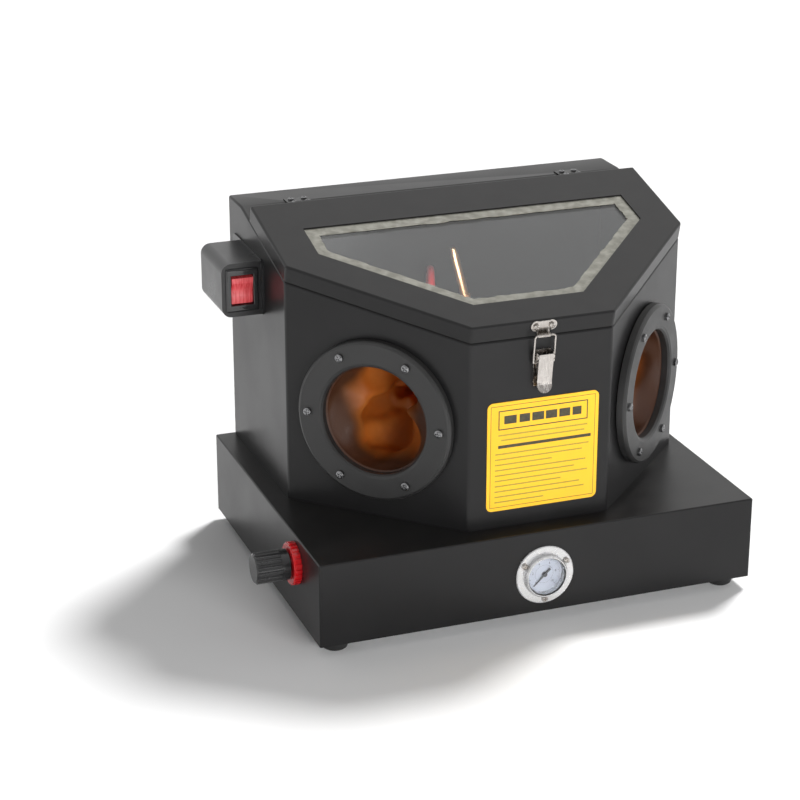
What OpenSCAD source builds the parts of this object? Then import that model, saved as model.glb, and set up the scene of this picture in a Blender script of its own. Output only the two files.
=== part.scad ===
// Benchtop sandblast cabinet: a flat base that holds the air regulator and the
// pressure gauge, a six-sided blasting chamber with two glove ports, and a sloping
// lid with a window that a draw latch holds shut.
// Millimetres, +Z up, standing on z = 0.

/* [Base] */
// Width of the base, side to side
base_w = 460; // [400:1:620]
// Depth of the base, front to back
base_d = 353; // [340:1:440]
// Height of the base housing without its feet
base_h = 86; // [80:1:130]
// Thickness of the folded steel sheet
sheet = 1.5; // [1:0.1:2.5]

/* [Feet] */
// Diameter of a rubber foot at its top
foot_d = 29; // [20:1:36]
// Height of a rubber foot
foot_h = 12; // [9:1:20]
// Distance from the base's edges to a foot's centre
foot_inset = 22; // [20:1:30]

/* [Cabinet] */
// Width of the blasting chamber
cab_w = 426; // [380:1:450]
// Distance of the chamber's middle from the base's middle
cab_x = 4.5; // [-8:0.5:8]
// Width of the narrow front panel
front_w = 148; // [130:1:200]
// Step from the base's front edge back to the front panel
front_set = 24; // [12:1:30]
// Height of the chamber at its rear strip
cab_h = 265; // [240:1:330]
// Height of the chamber at its front panel
front_h = 194; // [180:1:230]
// Slope of the lid and of the chamber's rim, in degrees
slope = 14; // [10:0.5:16]
// Width of the inward flange that the lid closes on
rim_w = 18; // [14:1:24]

/* [Glove ports] */
// Height of the glove ports' centres over the base
port_h = 103; // [95:1:130]
// Distance from the front corner along the slanted panel to a port's centre
port_s = 97; // [92:1:110]
// Outer diameter of a glove ring
ring_od = 164; // [150:1:170]
// Clear inner diameter of a glove ring
ring_id = 111; // [90:1:116]
// Thickness of a glove ring
ring_t = 11; // [6:0.5:14]
// Diameter of the screw circle of a glove ring
ring_pcd = 141; // [134:1:148]
// Thickness of the glove rubber
glove_t = 1.6; // [1:0.1:2.5]
// Length of a glove from the wall to its inner end
glove_l = 128; // [100:1:130]

/* [Lid] */
// Height of the lid's skirt, with its plate
lid_h = 17; // [14:0.5:24]
// Gap between the lid's skirt and the chamber's rim
lid_gap = 1; // [0.6:0.1:2]
// Distance from the chamber's back face to the lid's back edge
lid_back = 74; // [60:1:90]
// Width of the lid's frame around the window
frame_w = 39; // [34:1:50]
// Width of the lid's frame behind the window
frame_back = 54; // [44:1:70]
// Thickness of the window pane
glass_t = 4; // [3:0.5:6]
// Visible width of the sealing strip
seal_w = 9; // [5:0.5:12]
// Thickness of the sealing strip
seal_t = 1.2; // [0.8:0.1:2]

/* [Hinges] */
// Distance of a hinge from the chamber's middle
hinge_x = 152; // [100:1:190]
// Width of a hinge
hinge_w = 26; // [20:1:40]
// Diameter of a hinge pin
hinge_pin_d = 2.4; // [2:0.1:3]
// Outer diameter of a hinge knuckle
knuckle_d = 5; // [4.4:0.1:6]

/* [Latch] */
// Width of the latch lever
lever_w = 15.2; // [12:0.1:20]
// Length of the latch lever below its pivot
lever_l = 40; // [32:1:46]
// Diameter of the latch's wire loop
wire_d = 2; // [1.6:0.1:2.6]
// Height of the lever's pivot over the base
lever_z = 176; // [165:1:185]

/* [Gauge] */
// Diameter of the gauge's mounting flange
flange_d = 61; // [50:1:70]
// Diameter of the gauge's screw circle
flange_pcd = 51; // [46:1:60]
// Diameter of the gauge's case
case_d = 43; // [38:1:45]
// Height of the gauge's centre over the base's underside
gauge_h = 40; // [36:1:60]

/* [Regulator] */
// Height of the regulator's axis over the base's underside
reg_h = 58; // [40:1:60]
// Distance of the regulator's axis from the base's front
reg_s = 73; // [60:1:100]
// Diameter of the regulator's knob
knob_d = 31; // [26:1:36]
// Length of the regulator's knob
knob_l = 34; // [26:1:40]
// Diameter of the regulator's lock ring
lock_d = 43; // [38:1:48]

/* [Switch box] */
// How far the switch box stands off the cabinet's side
sw_out = 43; // [36:1:50]
// Height of the switch box
sw_h = 59; // [50:1:66]
// Length of the switch box, front to back
sw_l = 75; // [60:1:90]
// Height of the switch box's middle over the base
sw_z = 201; // [190:1:215]

/* [Rear fittings] */
// Outer diameter of the dust spigot
dust_d = 40; // [32:1:50]
// Length of the dust spigot
dust_l = 30; // [24:1:40]
// Height of the dust spigot's axis over the base
dust_h = 48; // [46:1:60]
// Outer diameter of the air inlet's plug
plug_d = 7.6; // [7:0.1:8]

/* [Hidden] */
$fn = 64;
eps = 0.5;
run_fit = 0.05;
hole_gap = 0.2;

// levels and planes of the base and the chamber
z_base = foot_h;
z_top = foot_h + base_h;
y_base = base_d / 2;
y_back = y_base;
y_front = -y_base + front_set;
half_w = cab_w / 2;
half_f = front_w / 2;
run = half_w - half_f;
y_side = y_front + run;
y_strip = y_front + (cab_h - front_h) / tan(slope);

// the slanted panels' ports
port_x = half_f + port_s * sin(45);
port_y = y_front + port_s * cos(45);
port_hole_d = ring_id + 4;
ring_screw_d = 4;
cuff_t = glove_t;
skin = 0.02;

// the lid, in the plane of the slope
lid_u = (y_back - lid_back - y_front) / cos(slope);
side_u = run / cos(slope);
lid_angle = atan2(side_u, run);
glass_over = 16;

// the hinge line, behind the lid and just over the rear strip
hinge_r = knuckle_d / 2;
hinge_leaf_t = 1.2;
hinge_leaf_l = 30;
hinge_z = z_top + cab_h + hinge_leaf_t / 2 + 0.9;
hinge_y = y_back - lid_back + hinge_r + 3.2;

// the latch's pivots, measured off the front panel
pivot_out = 7;
rod_proud = 0.5;
loop_out = 4.5;
loop_drop = 7;
bar_z = z_top + front_h + 3;
bar_out = 8;
ear_t = 1.2;
pivot_z = z_top + lever_z;
loop_z = pivot_z - loop_drop;
loop_half = lever_w / 2 + ear_t + wire_d / 2 + 0.8;

// the gauge
gauge_x = 2;
flange_t = 2.4;
bezel_out = 8;
case_in = 26;
gauge_z = z_base + gauge_h;
needle_angle = 225;

// the regulator on the base's left side
reg_y = -y_base + reg_s;
reg_z = z_base + reg_h;
reg_x = -base_w / 2;
lock_t = 8;
spindle_d = 9;
knob_gap = 1.6;
knob_end = reg_x - lock_t - knob_gap - knob_l;

// the switch box on the chamber's left side
sw_x = cab_x - half_w;
sw_front = y_side + sw_l - 3;
sw_wall = 2.5;
sw_flange_t = 1.6;
sw_round = 10;
neck_play = 0.4;
sw_flange_l = sw_l + 28;
bezel_w = 34;
bezel_h = 45;
rocker_w = 22;
rocker_h = 30;
neck_wall = 4.6;
neck_l = 22;

// rear fittings
dust_x = cab_x + 95;
dust_z = z_top + dust_h;
inlet_x = -150;
inlet_z = z_base + 42;
power_x = 150;
inlet_l = 24;

// the blasting gun, standing in its holder
gun_at = [cab_x + 16, 46, z_top + 110];
gun_tilt = -15;
gun_d = 22;
gun_l = 56;
nozzle_d = 8;
nozzle_l = 60;
tray_z = 24;
grate_t = 1.5;
grate_z = z_top + tray_z + sheet;
hose_d = 8;

// the middle of the whole object's outline, which stands over the origin
x_low = knob_end;
x_mid = (x_low + base_w / 2) / 2;
y_mid = (y_back + dust_l - (y_base + bezel_out)) / 2;

module placed() { translate([-x_mid, -y_mid, 0]) children(); }
module on_cab() { placed() translate([cab_x, 0, z_top]) children(); }
// a frame on an upright face: x along the face, y up, z out of the face
module on_face(at, turn) { placed() translate(at) rotate([90, 0, turn]) children(); }
// a frame on the chamber's sloping rim: y up the slope, z off it
module on_slope() { on_cab() translate([0, y_front, front_h]) rotate([slope, 0, 0]) children(); }
module at_port(side) {
    on_face([cab_x + side * port_x, port_y, z_top + port_h], 45 * side) children();
}
module at_lock() { on_face([reg_x, reg_y, reg_z], -90) children(); }
module at_gauge() { on_face([gauge_x, -y_base, gauge_z], 0) children(); }

function plan(t) = [[half_w - t, y_back - t], [t - half_w, y_back - t],
    [t - half_w, y_side + t * tan(22.5)], [t * tan(22.5) - half_f, y_front + t],
    [half_f - t * tan(22.5), y_front + t], [half_w - t, y_side + t * tan(22.5)]];

function lid_plan(t, tb) =
    let (cx = half_w - t, cy = side_u + t * (1 - sin(lid_angle)) / cos(lid_angle),
        fx = half_f - t * tan(lid_angle / 2))
    [[cx, lid_u - tb], [-cx, lid_u - tb], [-cx, cy], [-fx, t], [fx, t], [cx, cy]];

// the chamber's side profile, lowered by t, as a slab across the chamber
module profile(t, low) {
    rise = cab_h - t - front_h + t / cos(slope);
    translate([cab_w, 0, 0]) rotate([90, 0, -90]) linear_extrude(2 * cab_w)
        polygon([[-y_back - eps, low], [-y_back - eps, cab_h - t],
            [-y_front - rise / tan(slope), cab_h - t],
            [-y_front + eps, front_h - t / cos(slope) - eps * tan(slope)],
            [-y_front + eps, low]]);
}

// a pan-head screw: its seat at z = 0, its shank down
module screw(d, l, slots = true) {
    difference() {
        union() {
            cylinder(d = 2 * d, h = 0.55 * d);
            translate([0, 0, 0.55 * d]) cylinder(d1 = 2 * d, d2 = 1.3 * d, h = 0.2 * d);
        }
        if (slots) for (a = [0, 90])
            rotate(a) translate([-0.7 * d, -0.12 * d, 0.4 * d]) cube([1.4 * d, 0.24 * d, d]);
    }
    translate([0, 0, -l]) cylinder(d = d, h = l);
}

module nut(d, h) {
    difference() {
        cylinder(d = 2 * d, h = h, $fn = 6);
        translate([0, 0, -eps]) cylinder(d = d + 2 * run_fit, h = h + 2 * eps);
    }
}

// ---------------------------------------------------------------- base
base_bolts = [for (x = [-1, 1], y = [-1, 1]) [x * (base_w / 2 - 70), y * (y_base - 9)]];
feet = [for (y = [-1, 1], x = [-1, 1]) [x * (base_w / 2 - foot_inset), y * (y_base - foot_inset)]];
base_bolt_d = 4;
turn_in = 14;
foot_bolt_d = 5;
grommet_at = [cab_x + 7, y_back - 9.5];
grommet_d = 10;

module base_housing() {
    color("#2b2b2d") placed() difference() {
        translate([-base_w / 2, -y_base, z_base]) cube([base_w, base_d, base_h]);
        difference() {
            translate([sheet - base_w / 2, sheet - y_base, z_base - eps])
                cube([base_w - 2 * sheet, base_d - 2 * sheet, base_h - sheet + eps]);
            // the walls' lower edges turn inward and take the bottom plate's screws
            for (s = [-1, 1]) translate([-base_w / 2, s > 0 ? y_base - turn_in : -y_base,
                z_base + sheet + hole_gap]) cube([base_w, turn_in, sheet]);
        }
        for (p = base_bolts) translate([p[0], p[1], z_base - eps])
            cylinder(d = base_bolt_d + hole_gap, h = 8);
        translate([grommet_at[0], grommet_at[1], z_top - 10]) cylinder(d = grommet_d, h = 20);
        translate([gauge_x, -y_base - 5, gauge_z]) rotate([-90, 0, 0])
            cylinder(d = case_d + 2 * hole_gap, h = 10);
        for (a = [30, 150, 270]) translate([gauge_x, -y_base, gauge_z]) rotate([90, 0, 0])
            rotate(a) translate([flange_pcd / 2, 0, -5]) cylinder(d = 3 + hole_gap, h = 10);
        translate([reg_x - 5, reg_y, reg_z]) rotate([0, 90, 0]) cylinder(d = 30 + hole_gap, h = 10);
        translate([inlet_x, y_base - 5, inlet_z]) rotate([-90, 0, 0])
            cylinder(d = 12 + hole_gap, h = 10);
        translate([power_x, y_base - 5, inlet_z]) rotate([-90, 0, 0])
            cylinder(d = 11 + hole_gap, h = 10);
    }
}

module base_bottom_plate() {
    color("#6f7275") placed() difference() {
        translate([-base_w / 2 + sheet + 0.3, -y_base + sheet + 0.3, z_base])
            cube([base_w - 2 * sheet - 0.6, base_d - 2 * sheet - 0.6, sheet]);
        for (p = base_bolts) translate([p[0], p[1], z_base - eps])
            cylinder(d = base_bolt_d + hole_gap, h = 8);
        for (p = feet) translate([p[0], p[1], z_base - eps])
            cylinder(d = foot_bolt_d + hole_gap, h = 8);
    }
}

module base_screws() {
    color("#8a8d90") placed() for (p = base_bolts)
        translate([p[0], p[1], z_base]) mirror([0, 0, 1]) screw(base_bolt_d, 8);
}

// a tapered rubber foot with a recess for its screw and a steel washer's seat
module foot(n) {
    color("#161616") placed() translate([feet[n][0], feet[n][1], 0]) difference() {
        rotate_extrude() polygon([[0, 0], [0.37 * foot_d, 0], [0.42 * foot_d, 1.2],
            [0.5 * foot_d, foot_h - 3], [0.5 * foot_d, foot_h], [0, foot_h]]);
        translate([0, 0, -eps]) cylinder(d = 12, h = foot_h - 5 + eps);
        cylinder(d = foot_bolt_d + hole_gap, h = foot_h + eps);
    }
}
module foot_front_left() { foot(0); }
module foot_front_right() { foot(1); }
module foot_rear_left() { foot(2); }
module foot_rear_right() { foot(3); }

module foot_screws() {
    color("#8a8d90") placed() for (p = feet) {
        translate([p[0], p[1], foot_h - 5]) mirror([0, 0, 1]) screw(foot_bolt_d, 12);
        translate([p[0], p[1], z_base + sheet]) nut(foot_bolt_d, 3.5);
    }
}

// ------------------------------------------------------------- chamber
module port_holes(extra) {
    for (s = [-1, 1]) translate([s * port_x, port_y, port_h]) rotate([90, 0, 45 * s]) {
        translate([0, 0, -30]) cylinder(d = port_hole_d + extra, h = 60, $fn = 96);
        for (a = [0:60:300]) rotate(a) translate([ring_pcd / 2, 0, -20])
            cylinder(d = ring_screw_d + hole_gap, h = 40);
    }
}

module cabinet_shell() {
    color("#303032") on_cab() difference() {
        intersection() {
            linear_extrude(cab_h + 10) polygon(plan(0));
            profile(0, 0);
        }
        intersection() {
            translate([0, 0, -eps]) linear_extrude(cab_h + 10) polygon(plan(sheet));
            profile(sheet, -2 * eps);
        }
        // the opening that the lid closes
        translate([0, y_front, front_h]) rotate([slope, 0, 0]) translate([0, 0, -12])
            linear_extrude(24) polygon(lid_plan(rim_w, rim_w));
        port_holes(0);
        translate([dust_x - cab_x, y_back - 10, dust_z - z_top]) rotate([-90, 0, 0])
            cylinder(d = dust_d + hole_gap, h = 20);
        for (a = [45:90:315]) translate([dust_x - cab_x, y_back, dust_z - z_top])
            rotate([90, 0, 180]) rotate(a) translate([30, 0, -10]) cylinder(d = 3 + hole_gap, h = 20);
        for (x = [-1, 1], y = [12, 24]) translate([x * hinge_x, hinge_y + y, cab_h - 5])
            for (i = [-1, 1]) translate([i * 7, 0, 0]) cylinder(d = 3 + hole_gap, h = 10);
        for (z = [lever_z - 26, lever_z - 16]) translate([0, y_front - 5, z]) rotate([-90, 0, 0])
            cylinder(d = 2.6 + hole_gap, h = 12);
        // the cable hole behind the switch box
        translate([-half_w - 5, sw_front + 40, sw_z]) rotate([0, 90, 0]) cylinder(d = 12, h = 10);
    }
}

module cabinet_floor() {
    color("#55585b") on_cab() difference() {
        linear_extrude(sheet) polygon(plan(sheet + 0.3));
        translate([grommet_at[0] - cab_x, grommet_at[1], -eps]) cylinder(d = grommet_d, h = 5);
    }
}

// the hopper tray that the spent abrasive slides down to the pick-up point
tray_back = 16;
sump = 40;
module tray_form(t) {
    hull() {
        translate([0, 0, tray_z - 1 + t]) linear_extrude(1) intersection() {
            polygon(plan(14 + t));
            translate([-half_w, -y_back]) square([cab_w, 2 * y_back - tray_back - 6]);
        }
        translate([-sump / 2 + t / 2, -sump / 2 + t / 2, sheet + 1 + t]) cube([sump - t, sump - t, 1]);
    }
}
module media_tray() {
    color("#5d6063") on_cab() difference() {
        union() {
            tray_form(0);
            translate([0, 0, tray_z]) linear_extrude(sheet) intersection() {
                polygon(plan(sheet + 1));
                translate([-half_w, -y_back]) square([cab_w, 2 * y_back - tray_back]);
            }
        }
        translate([0, 0, 0.01]) tray_form(1.4);
        translate([0, 0, tray_z - 0.8]) linear_extrude(10) intersection() {
            polygon(plan(15.4));
            translate([-half_w, -y_back]) square([cab_w, 2 * y_back - tray_back - 6 - 1.4]);
        }
    }
}

slot_w = 5;
slot_l = 52;
module work_grate() {
    color("#8b8e91") on_cab() translate([0, 0, tray_z + sheet]) linear_extrude(grate_t) difference() {
        intersection() {
            polygon(plan(sheet + 2));
            translate([-half_w, -y_back]) square([cab_w, 2 * y_back - tray_back - 1]);
        }
        intersection() {
            for (i = [-3:3], j = [-12:12]) translate([i * (slot_l + 6), j * 2 * slot_w + 5])
                square([slot_l, slot_w], center = true);
            polygon(plan(30));
            translate([-half_w, -y_back]) square([cab_w, 2 * y_back - tray_back - 12]);
        }
    }
}

// --------------------------------------------------------- glove ports
module ring_holes(d, low, high) {
    for (a = [0:60:300]) rotate(a) translate([ring_pcd / 2, 0, low]) cylinder(d = d, h = high - low);
}
module glove_ring(side) {
    r1 = ring_id / 2;
    r2 = ring_od / 2;
    color("#1c1c1e") at_port(side) difference() {
        rotate_extrude($fn = 128) polygon([[r1, cuff_t], [r2, cuff_t], [r2, ring_t - 3],
            [r2 - 1, ring_t - 1.2], [r2 - 3, ring_t], [r1 + 4, ring_t], [r1 + 1.4, ring_t - 1],
            [r1, ring_t - 3]]);
        ring_holes(ring_screw_d + hole_gap, 0, ring_t + eps);
    }
}
module glove_ring_left() { glove_ring(-1); }
module glove_ring_right() { glove_ring(1); }

module backing_ring(side) {
    color("#77797c") at_port(side) translate([0, 0, -sheet]) mirror([0, 0, 1]) difference() {
        cylinder(d = ring_pcd + 2 * ring_screw_d, h = 2, $fn = 96);
        translate([0, 0, -eps]) cylinder(d = port_hole_d, h = 5, $fn = 96);
        ring_holes(ring_screw_d + hole_gap, -eps, 5);
    }
}
module backing_ring_left() { backing_ring(-1); }
module backing_ring_right() { backing_ring(1); }

module ring_screws(side) {
    color("#4a4b4d") at_port(side) for (a = [0:60:300]) rotate(a) translate([ring_pcd / 2, 0, 0]) {
        translate([0, 0, ring_t]) screw(ring_screw_d, ring_t + sheet + 6, true);
        translate([0, 0, -sheet - 2]) mirror([0, 0, 1]) nut(ring_screw_d, 3);
    }
}
module ring_screws_left() { ring_screws(-1); }
module ring_screws_right() { ring_screws(1); }

// a rubber glove: a cuff flange under the ring, a sleeve and a rounded inner end
module glove(side) {
    r = ring_id / 2;
    wrist = 36;
    color("#c96a1e") at_port(side) difference() {
        rotate_extrude($fn = 96) polygon(concat(
            [[r, cuff_t - skin], [r, -8], [r - 8, -glove_l + 55], [wrist, -glove_l + 34]],
            [for (a = [0:15:90]) [wrist * cos(a), -glove_l + 34 - 34 * sin(a)]],
            [[0, cuff_t - skin]]));
        rotate_extrude($fn = 96) polygon(concat(
            [[r - glove_t, cuff_t + eps], [r - glove_t, -8], [r - 8 - glove_t, -glove_l + 55]],
            [for (a = [0:15:90]) [(wrist - glove_t) * cos(a), -glove_l + 34 - (34 - glove_t) * sin(a)]],
            [[0, cuff_t + eps]]));
    }
    color("#c96a1e") at_port(side) difference() {
        translate([0, 0, skin]) cylinder(d = ring_pcd + 10, h = cuff_t - 2 * skin, $fn = 96);
        translate([0, 0, -eps]) cylinder(d = ring_id - 1, h = 5, $fn = 96);
        ring_holes(ring_screw_d + hole_gap, -eps, 5);
    }
}
module glove_left() { glove(-1); }
module glove_right() { glove(1); }

// ----------------------------------------------------------------- lid
lid_low = lid_gap;
lid_top = lid_gap + lid_h;
catch_screw_x = 8;
catch_screw_u = lid_top - 6;

module lid_shell() {
    color("#2e2e30") on_slope() difference() {
        translate([0, 0, lid_low]) linear_extrude(lid_h) polygon(lid_plan(0, 0));
        translate([0, 0, lid_low - eps]) linear_extrude(lid_h - sheet + eps)
            polygon(lid_plan(sheet, sheet));
        linear_extrude(lid_top + eps) polygon(lid_plan(frame_w, frame_back));
        for (x = [-1, 1]) translate([x * catch_screw_x, -5, catch_screw_u]) rotate([-90, 0, 0])
            cylinder(d = 3 + hole_gap, h = 10);
        for (x = [-1, 1], i = [-1, 1]) translate([x * hinge_x + i * 7, lid_u - 5, lid_top - 5])
            rotate([-90, 0, 0]) cylinder(d = 3 + hole_gap, h = 10);
    }
}

glass_top = lid_top - sheet - seal_t;
module window_seal() {
    color("#cfcabd") on_slope() translate([0, 0, glass_top]) linear_extrude(seal_t) difference() {
        polygon(lid_plan(frame_w - glass_over, frame_back - glass_over));
        polygon(lid_plan(frame_w + seal_w, frame_back + seal_w));
    }
}
module window_glass() {
    color([0.75, 0.8, 0.82, 0.35]) on_slope() translate([0, 0, glass_top - glass_t])
        linear_extrude(glass_t) polygon(lid_plan(frame_w - glass_over, frame_back - glass_over));
}

// bent clips hold the pane up against the lid's plate
clip_w = 16;
clip_edge = frame_w - glass_over;
clip_at = [[0, clip_edge, 0], [-half_f - 0.5 * run, 0, -1], [half_f + 0.5 * run, 0, 1],
    [-hinge_x + 40, 0, 2], [hinge_x - 40, 0, 2]];
// a frame on the pane's edge, y pointing off the pane
module on_edge(c) {
    if (c[2] == 0) translate([0, clip_edge, 0]) rotate(180) children();
    else if (c[2] == 2) translate([c[0], lid_u - frame_back + glass_over, 0]) children();
    else translate([c[0] - c[2] * clip_edge * sin(lid_angle), 0.5 * side_u + clip_edge * cos(lid_angle), 0])
        rotate(c[2] > 0 ? lid_angle + 180 : -lid_angle + 180) children();
}
module window_clips() {
    color("#9a9da0") on_slope() for (c = clip_at) on_edge(c) difference() {
        union() {
            translate([-clip_w / 2, -6, glass_top - glass_t - 1.2]) cube([clip_w, 7.4, 1.2]);
            translate([-clip_w / 2, 0.4, glass_top - glass_t - 1.2])
                cube([clip_w, 1, glass_t + seal_t + 1.2]);
            translate([-clip_w / 2, 0.4, lid_top - sheet - 1.2]) cube([clip_w, 11, 1.2]);
        }
        translate([0, 7, 0]) cylinder(d = 3 + hole_gap, h = lid_top);
    }
}
module clip_screws() {
    color("#9a9da0") on_slope() for (c = clip_at) on_edge(c)
        translate([0, 7, lid_top - sheet - 1.2]) mirror([0, 0, 1]) {
            cylinder(d = 5.5, h = 2);
            translate([0, 0, -1.2]) cylinder(d = 3, h = 1.4);
        }
}

gasket_t = 2;
module lid_gasket() {
    color("#151515") on_slope() translate([0, 0, 0.02]) linear_extrude(gasket_t) difference() {
        polygon(lid_plan(sheet + 0.5, sheet + 0.5));
        polygon(lid_plan(rim_w - 4, rim_w - 4));
    }
}

// -------------------------------------------------------------- hinges
knuckles = 5;
module at_hinge(s) { placed() translate([cab_x + s * hinge_x, hinge_y, hinge_z]) children(); }
module knuckle_set(first) {
    w = hinge_w / knuckles;
    for (i = [first:2:knuckles - 1]) translate([-hinge_w / 2 + i * w + 0.1, 0, 0]) rotate([0, 90, 0])
        difference() {
            cylinder(d = knuckle_d, h = w - 0.2);
            translate([0, 0, -eps]) cylinder(d = hinge_pin_d + 2 * run_fit, h = w + 2 * eps);
        }
}
module hinge_gaps(first) {
    w = hinge_w / knuckles;
    for (i = [first:2:knuckles - 1]) translate([-hinge_w / 2 + i * w - 0.1, -knuckle_d, -knuckle_d])
        cube([w + 0.2, knuckle_d + hinge_r + 0.6, 2 * knuckle_d]);
    translate([-hinge_w, 0, 0]) rotate([0, 90, 0]) cylinder(d = hinge_pin_d + 2 * run_fit, h = 2 * hinge_w);
}
module hinge_body_leaves() {
    leaf_z = z_top + cab_h - hinge_z;
    color("#2a2a2c") for (s = [-1, 1]) at_hinge(s) {
        knuckle_set(0);
        difference() {
            translate([-hinge_w / 2, 1.4, leaf_z]) cube([hinge_w, hinge_leaf_l, hinge_leaf_t]);
            hinge_gaps(1);
            for (y = [12, 24], i = [-1, 1]) translate([i * 7, y, -10]) cylinder(d = 3 + hole_gap, h = 20);
        }
    }
}
module hinge_lid_leaves() {
    color("#2a2a2c") for (s = [-1, 1]) {
        at_hinge(s) knuckle_set(1);
        difference() {
            on_slope() translate([s * hinge_x - hinge_w / 2, lid_u, lid_low + 1])
                cube([hinge_w, hinge_leaf_t, lid_h - 2]);
            on_slope() for (i = [-1, 1]) translate([s * hinge_x + i * 7, lid_u - 5, lid_top - 5])
                rotate([-90, 0, 0]) cylinder(d = 3 + hole_gap, h = 10);
        }
        difference() {
            at_hinge(s) translate([-hinge_w / 2, -hinge_r - 4, -0.9]) cube([hinge_w, hinge_r + 3.6, 1.2]);
            at_hinge(s) hinge_gaps(0);
            on_slope() translate([-half_w, lid_u - 20, 0]) cube([cab_w, 20.02, 40]);
        }
    }
}
module hinge_pins() {
    color("#8a8d90") for (s = [-1, 1]) at_hinge(s) translate([-hinge_w / 2 - 0.6, 0, 0]) rotate([0, 90, 0])
        cylinder(d = hinge_pin_d, h = hinge_w + 1.2);
}
module hinge_body_screws() {
    color("#3a3a3c") for (s = [-1, 1], y = [12, 24], i = [-1, 1]) at_hinge(s)
        translate([i * 7, y, z_top + cab_h + hinge_leaf_t - hinge_z]) screw(3, 6);
}
module hinge_lid_screws() {
    color("#3a3a3c") for (s = [-1, 1], i = [-1, 1]) on_slope()
        translate([s * hinge_x + i * 7, lid_u + hinge_leaf_t, lid_top - 5]) rotate([-90, 0, 0]) screw(3, 6);
}

// --------------------------------------------------------------- latch
module at_pivot() { placed() translate([cab_x, y_front - pivot_out, pivot_z]) children(); }
module bar(d, half) { translate([-half, 0, 0]) rotate([0, 90, 0]) cylinder(d = d, h = 2 * half); }

module latch_base() {
    ear_in = lever_w / 2 + 0.2;
    color("#b9bbbd") {
        on_face([cab_x, y_front, pivot_z], 0) difference() {
            translate([-ear_in - ear_t, -32, 0]) cube([2 * (ear_in + ear_t), 37, 1.2]);
            for (z = [-26, -16]) translate([0, z, -5]) cylinder(d = 2.6 + hole_gap, h = 10);
        }
        for (s = [-1, 1]) at_pivot() difference() {
            union() {
                translate([s * (ear_in + ear_t / 2) - ear_t / 2, 0, 0]) rotate([0, 90, 0])
                    cylinder(d = 8, h = ear_t);
                translate([s * (ear_in + ear_t / 2) - ear_t / 2, 0, -4]) cube([ear_t, pivot_out - 0.6, 8]);
            }
            bar(2.4 + 2 * run_fit, 20);
        }
    }
}
module latch_screws() {
    color("#b9bbbd") for (z = [-26, -16]) on_face([cab_x, y_front - 1.2, pivot_z + z], 0) {
        cylinder(d1 = 5, d2 = 4.2, h = 1);
        translate([0, 0, -6]) cylinder(d = 2.6, h = 6.1);
    }
}
// the lever: a sheet blade with two cheeks, its pivot rod and a turned-out tab
lever_lean = 8;
module latch_lever() {
    half = lever_w / 2;
    tab = 10;
    color("#c4c6c8") at_pivot() {
        difference() {
            union() {
                bar(2.4, half + ear_t + rod_proud);
                // blade, leaning in towards the panel at its lower end
                translate([0, -3.6, 3]) rotate([lever_lean, 0, 0]) {
                    translate([-half, -1.2, tab - lever_l]) cube([lever_w, 1.2, lever_l - tab]);
                    translate([0, 0, tab - lever_l]) rotate([-22, 0, 0]) {
                        translate([-half, -1.2, half - tab - 1]) cube([lever_w, 1.2, tab + 1.4 - half]);
                        translate([0, 0, half - tab - 1]) rotate([90, 0, 0]) cylinder(r = half, h = 1.2);
                    }
                    for (s = [-1, 1]) translate([s > 0 ? half - 1.2 : -half, -0.6, -17]) cube([1.2, 5, 17]);
                }
                for (s = [-1, 1]) translate([s > 0 ? half - 1.2 : -half, 0, 0]) rotate([0, 90, 0])
                    cylinder(d = 6, h = 1.2);
                for (s = [-1, 1]) translate([s > 0 ? half - 1.2 : -half, pivot_out - loop_out, -loop_drop])
                    rotate([0, 90, 0]) cylinder(d = 5, h = 1.2);
            }
            translate([0, pivot_out - loop_out, -loop_drop]) bar(wire_d + 2 * run_fit, 20);
        }
    }
}
// the wire loop, hooked into the lever's cheeks and standing before the catch
module latch_loop() {
    rise = bar_z - loop_z;
    lean = bar_out - loop_out;
    leg = sqrt(rise * rise + lean * lean);
    color("#c4c6c8") placed() translate([cab_x, y_front - loop_out, loop_z])
        rotate([atan2(lean, rise), 0, 0]) {
        for (s = [-1, 1]) {
            translate([s * loop_half, 0, 0]) cylinder(d = wire_d, h = leg - 3);
            translate([s * loop_half, 0, 0]) sphere(d = wire_d);
            translate([s * (loop_half + lever_w / 2 - 1.3) / 2, 0, 0])
                bar(wire_d, (loop_half - lever_w / 2 + 1.3) / 2);
            translate([s * (loop_half - 3), 0, leg - 3]) rotate([90, s > 0 ? 0 : -90, 0])
                rotate_extrude(angle = 90) translate([3, 0]) circle(d = wire_d, $fn = 32);
        }
        translate([0, 0, leg]) bar(wire_d, loop_half - 3);
    }
}
// the catch on the lid's skirt: two screw lobes, a neck and an upturned lip
catch_out = 5.4;
catch_neck = 13;
module latch_catch() {
    color("#c4c6c8") on_slope() difference() {
        union() {
            for (x = [-1, 1]) translate([x * catch_screw_x, 0, catch_screw_u]) rotate([90, 0, 0])
                cylinder(d = 11, h = 1.2);
            translate([-catch_screw_x, -1.2, catch_screw_u - 2.4]) cube([2 * catch_screw_x, 1.2, 7.4]);
            translate([-catch_neck / 2, -1.2, lid_low + 0.5])
                cube([catch_neck, 1.2, catch_screw_u - lid_low]);
            translate([-catch_neck / 2, -catch_out, lid_low + 0.5]) cube([catch_neck, catch_out, 1.2]);
            translate([-catch_neck / 2, -catch_out, lid_low + 0.5]) cube([catch_neck, 1.2, 4]);
        }
        for (x = [-1, 1]) translate([x * catch_screw_x, -5, catch_screw_u]) rotate([-90, 0, 0])
            cylinder(d = 3 + hole_gap, h = 10);
    }
}
module catch_screws() {
    color("#c4c6c8") for (x = [-1, 1]) on_slope()
        translate([x * catch_screw_x, -1.2, catch_screw_u]) rotate([90, 0, 0]) screw(3, 5);
}

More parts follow.
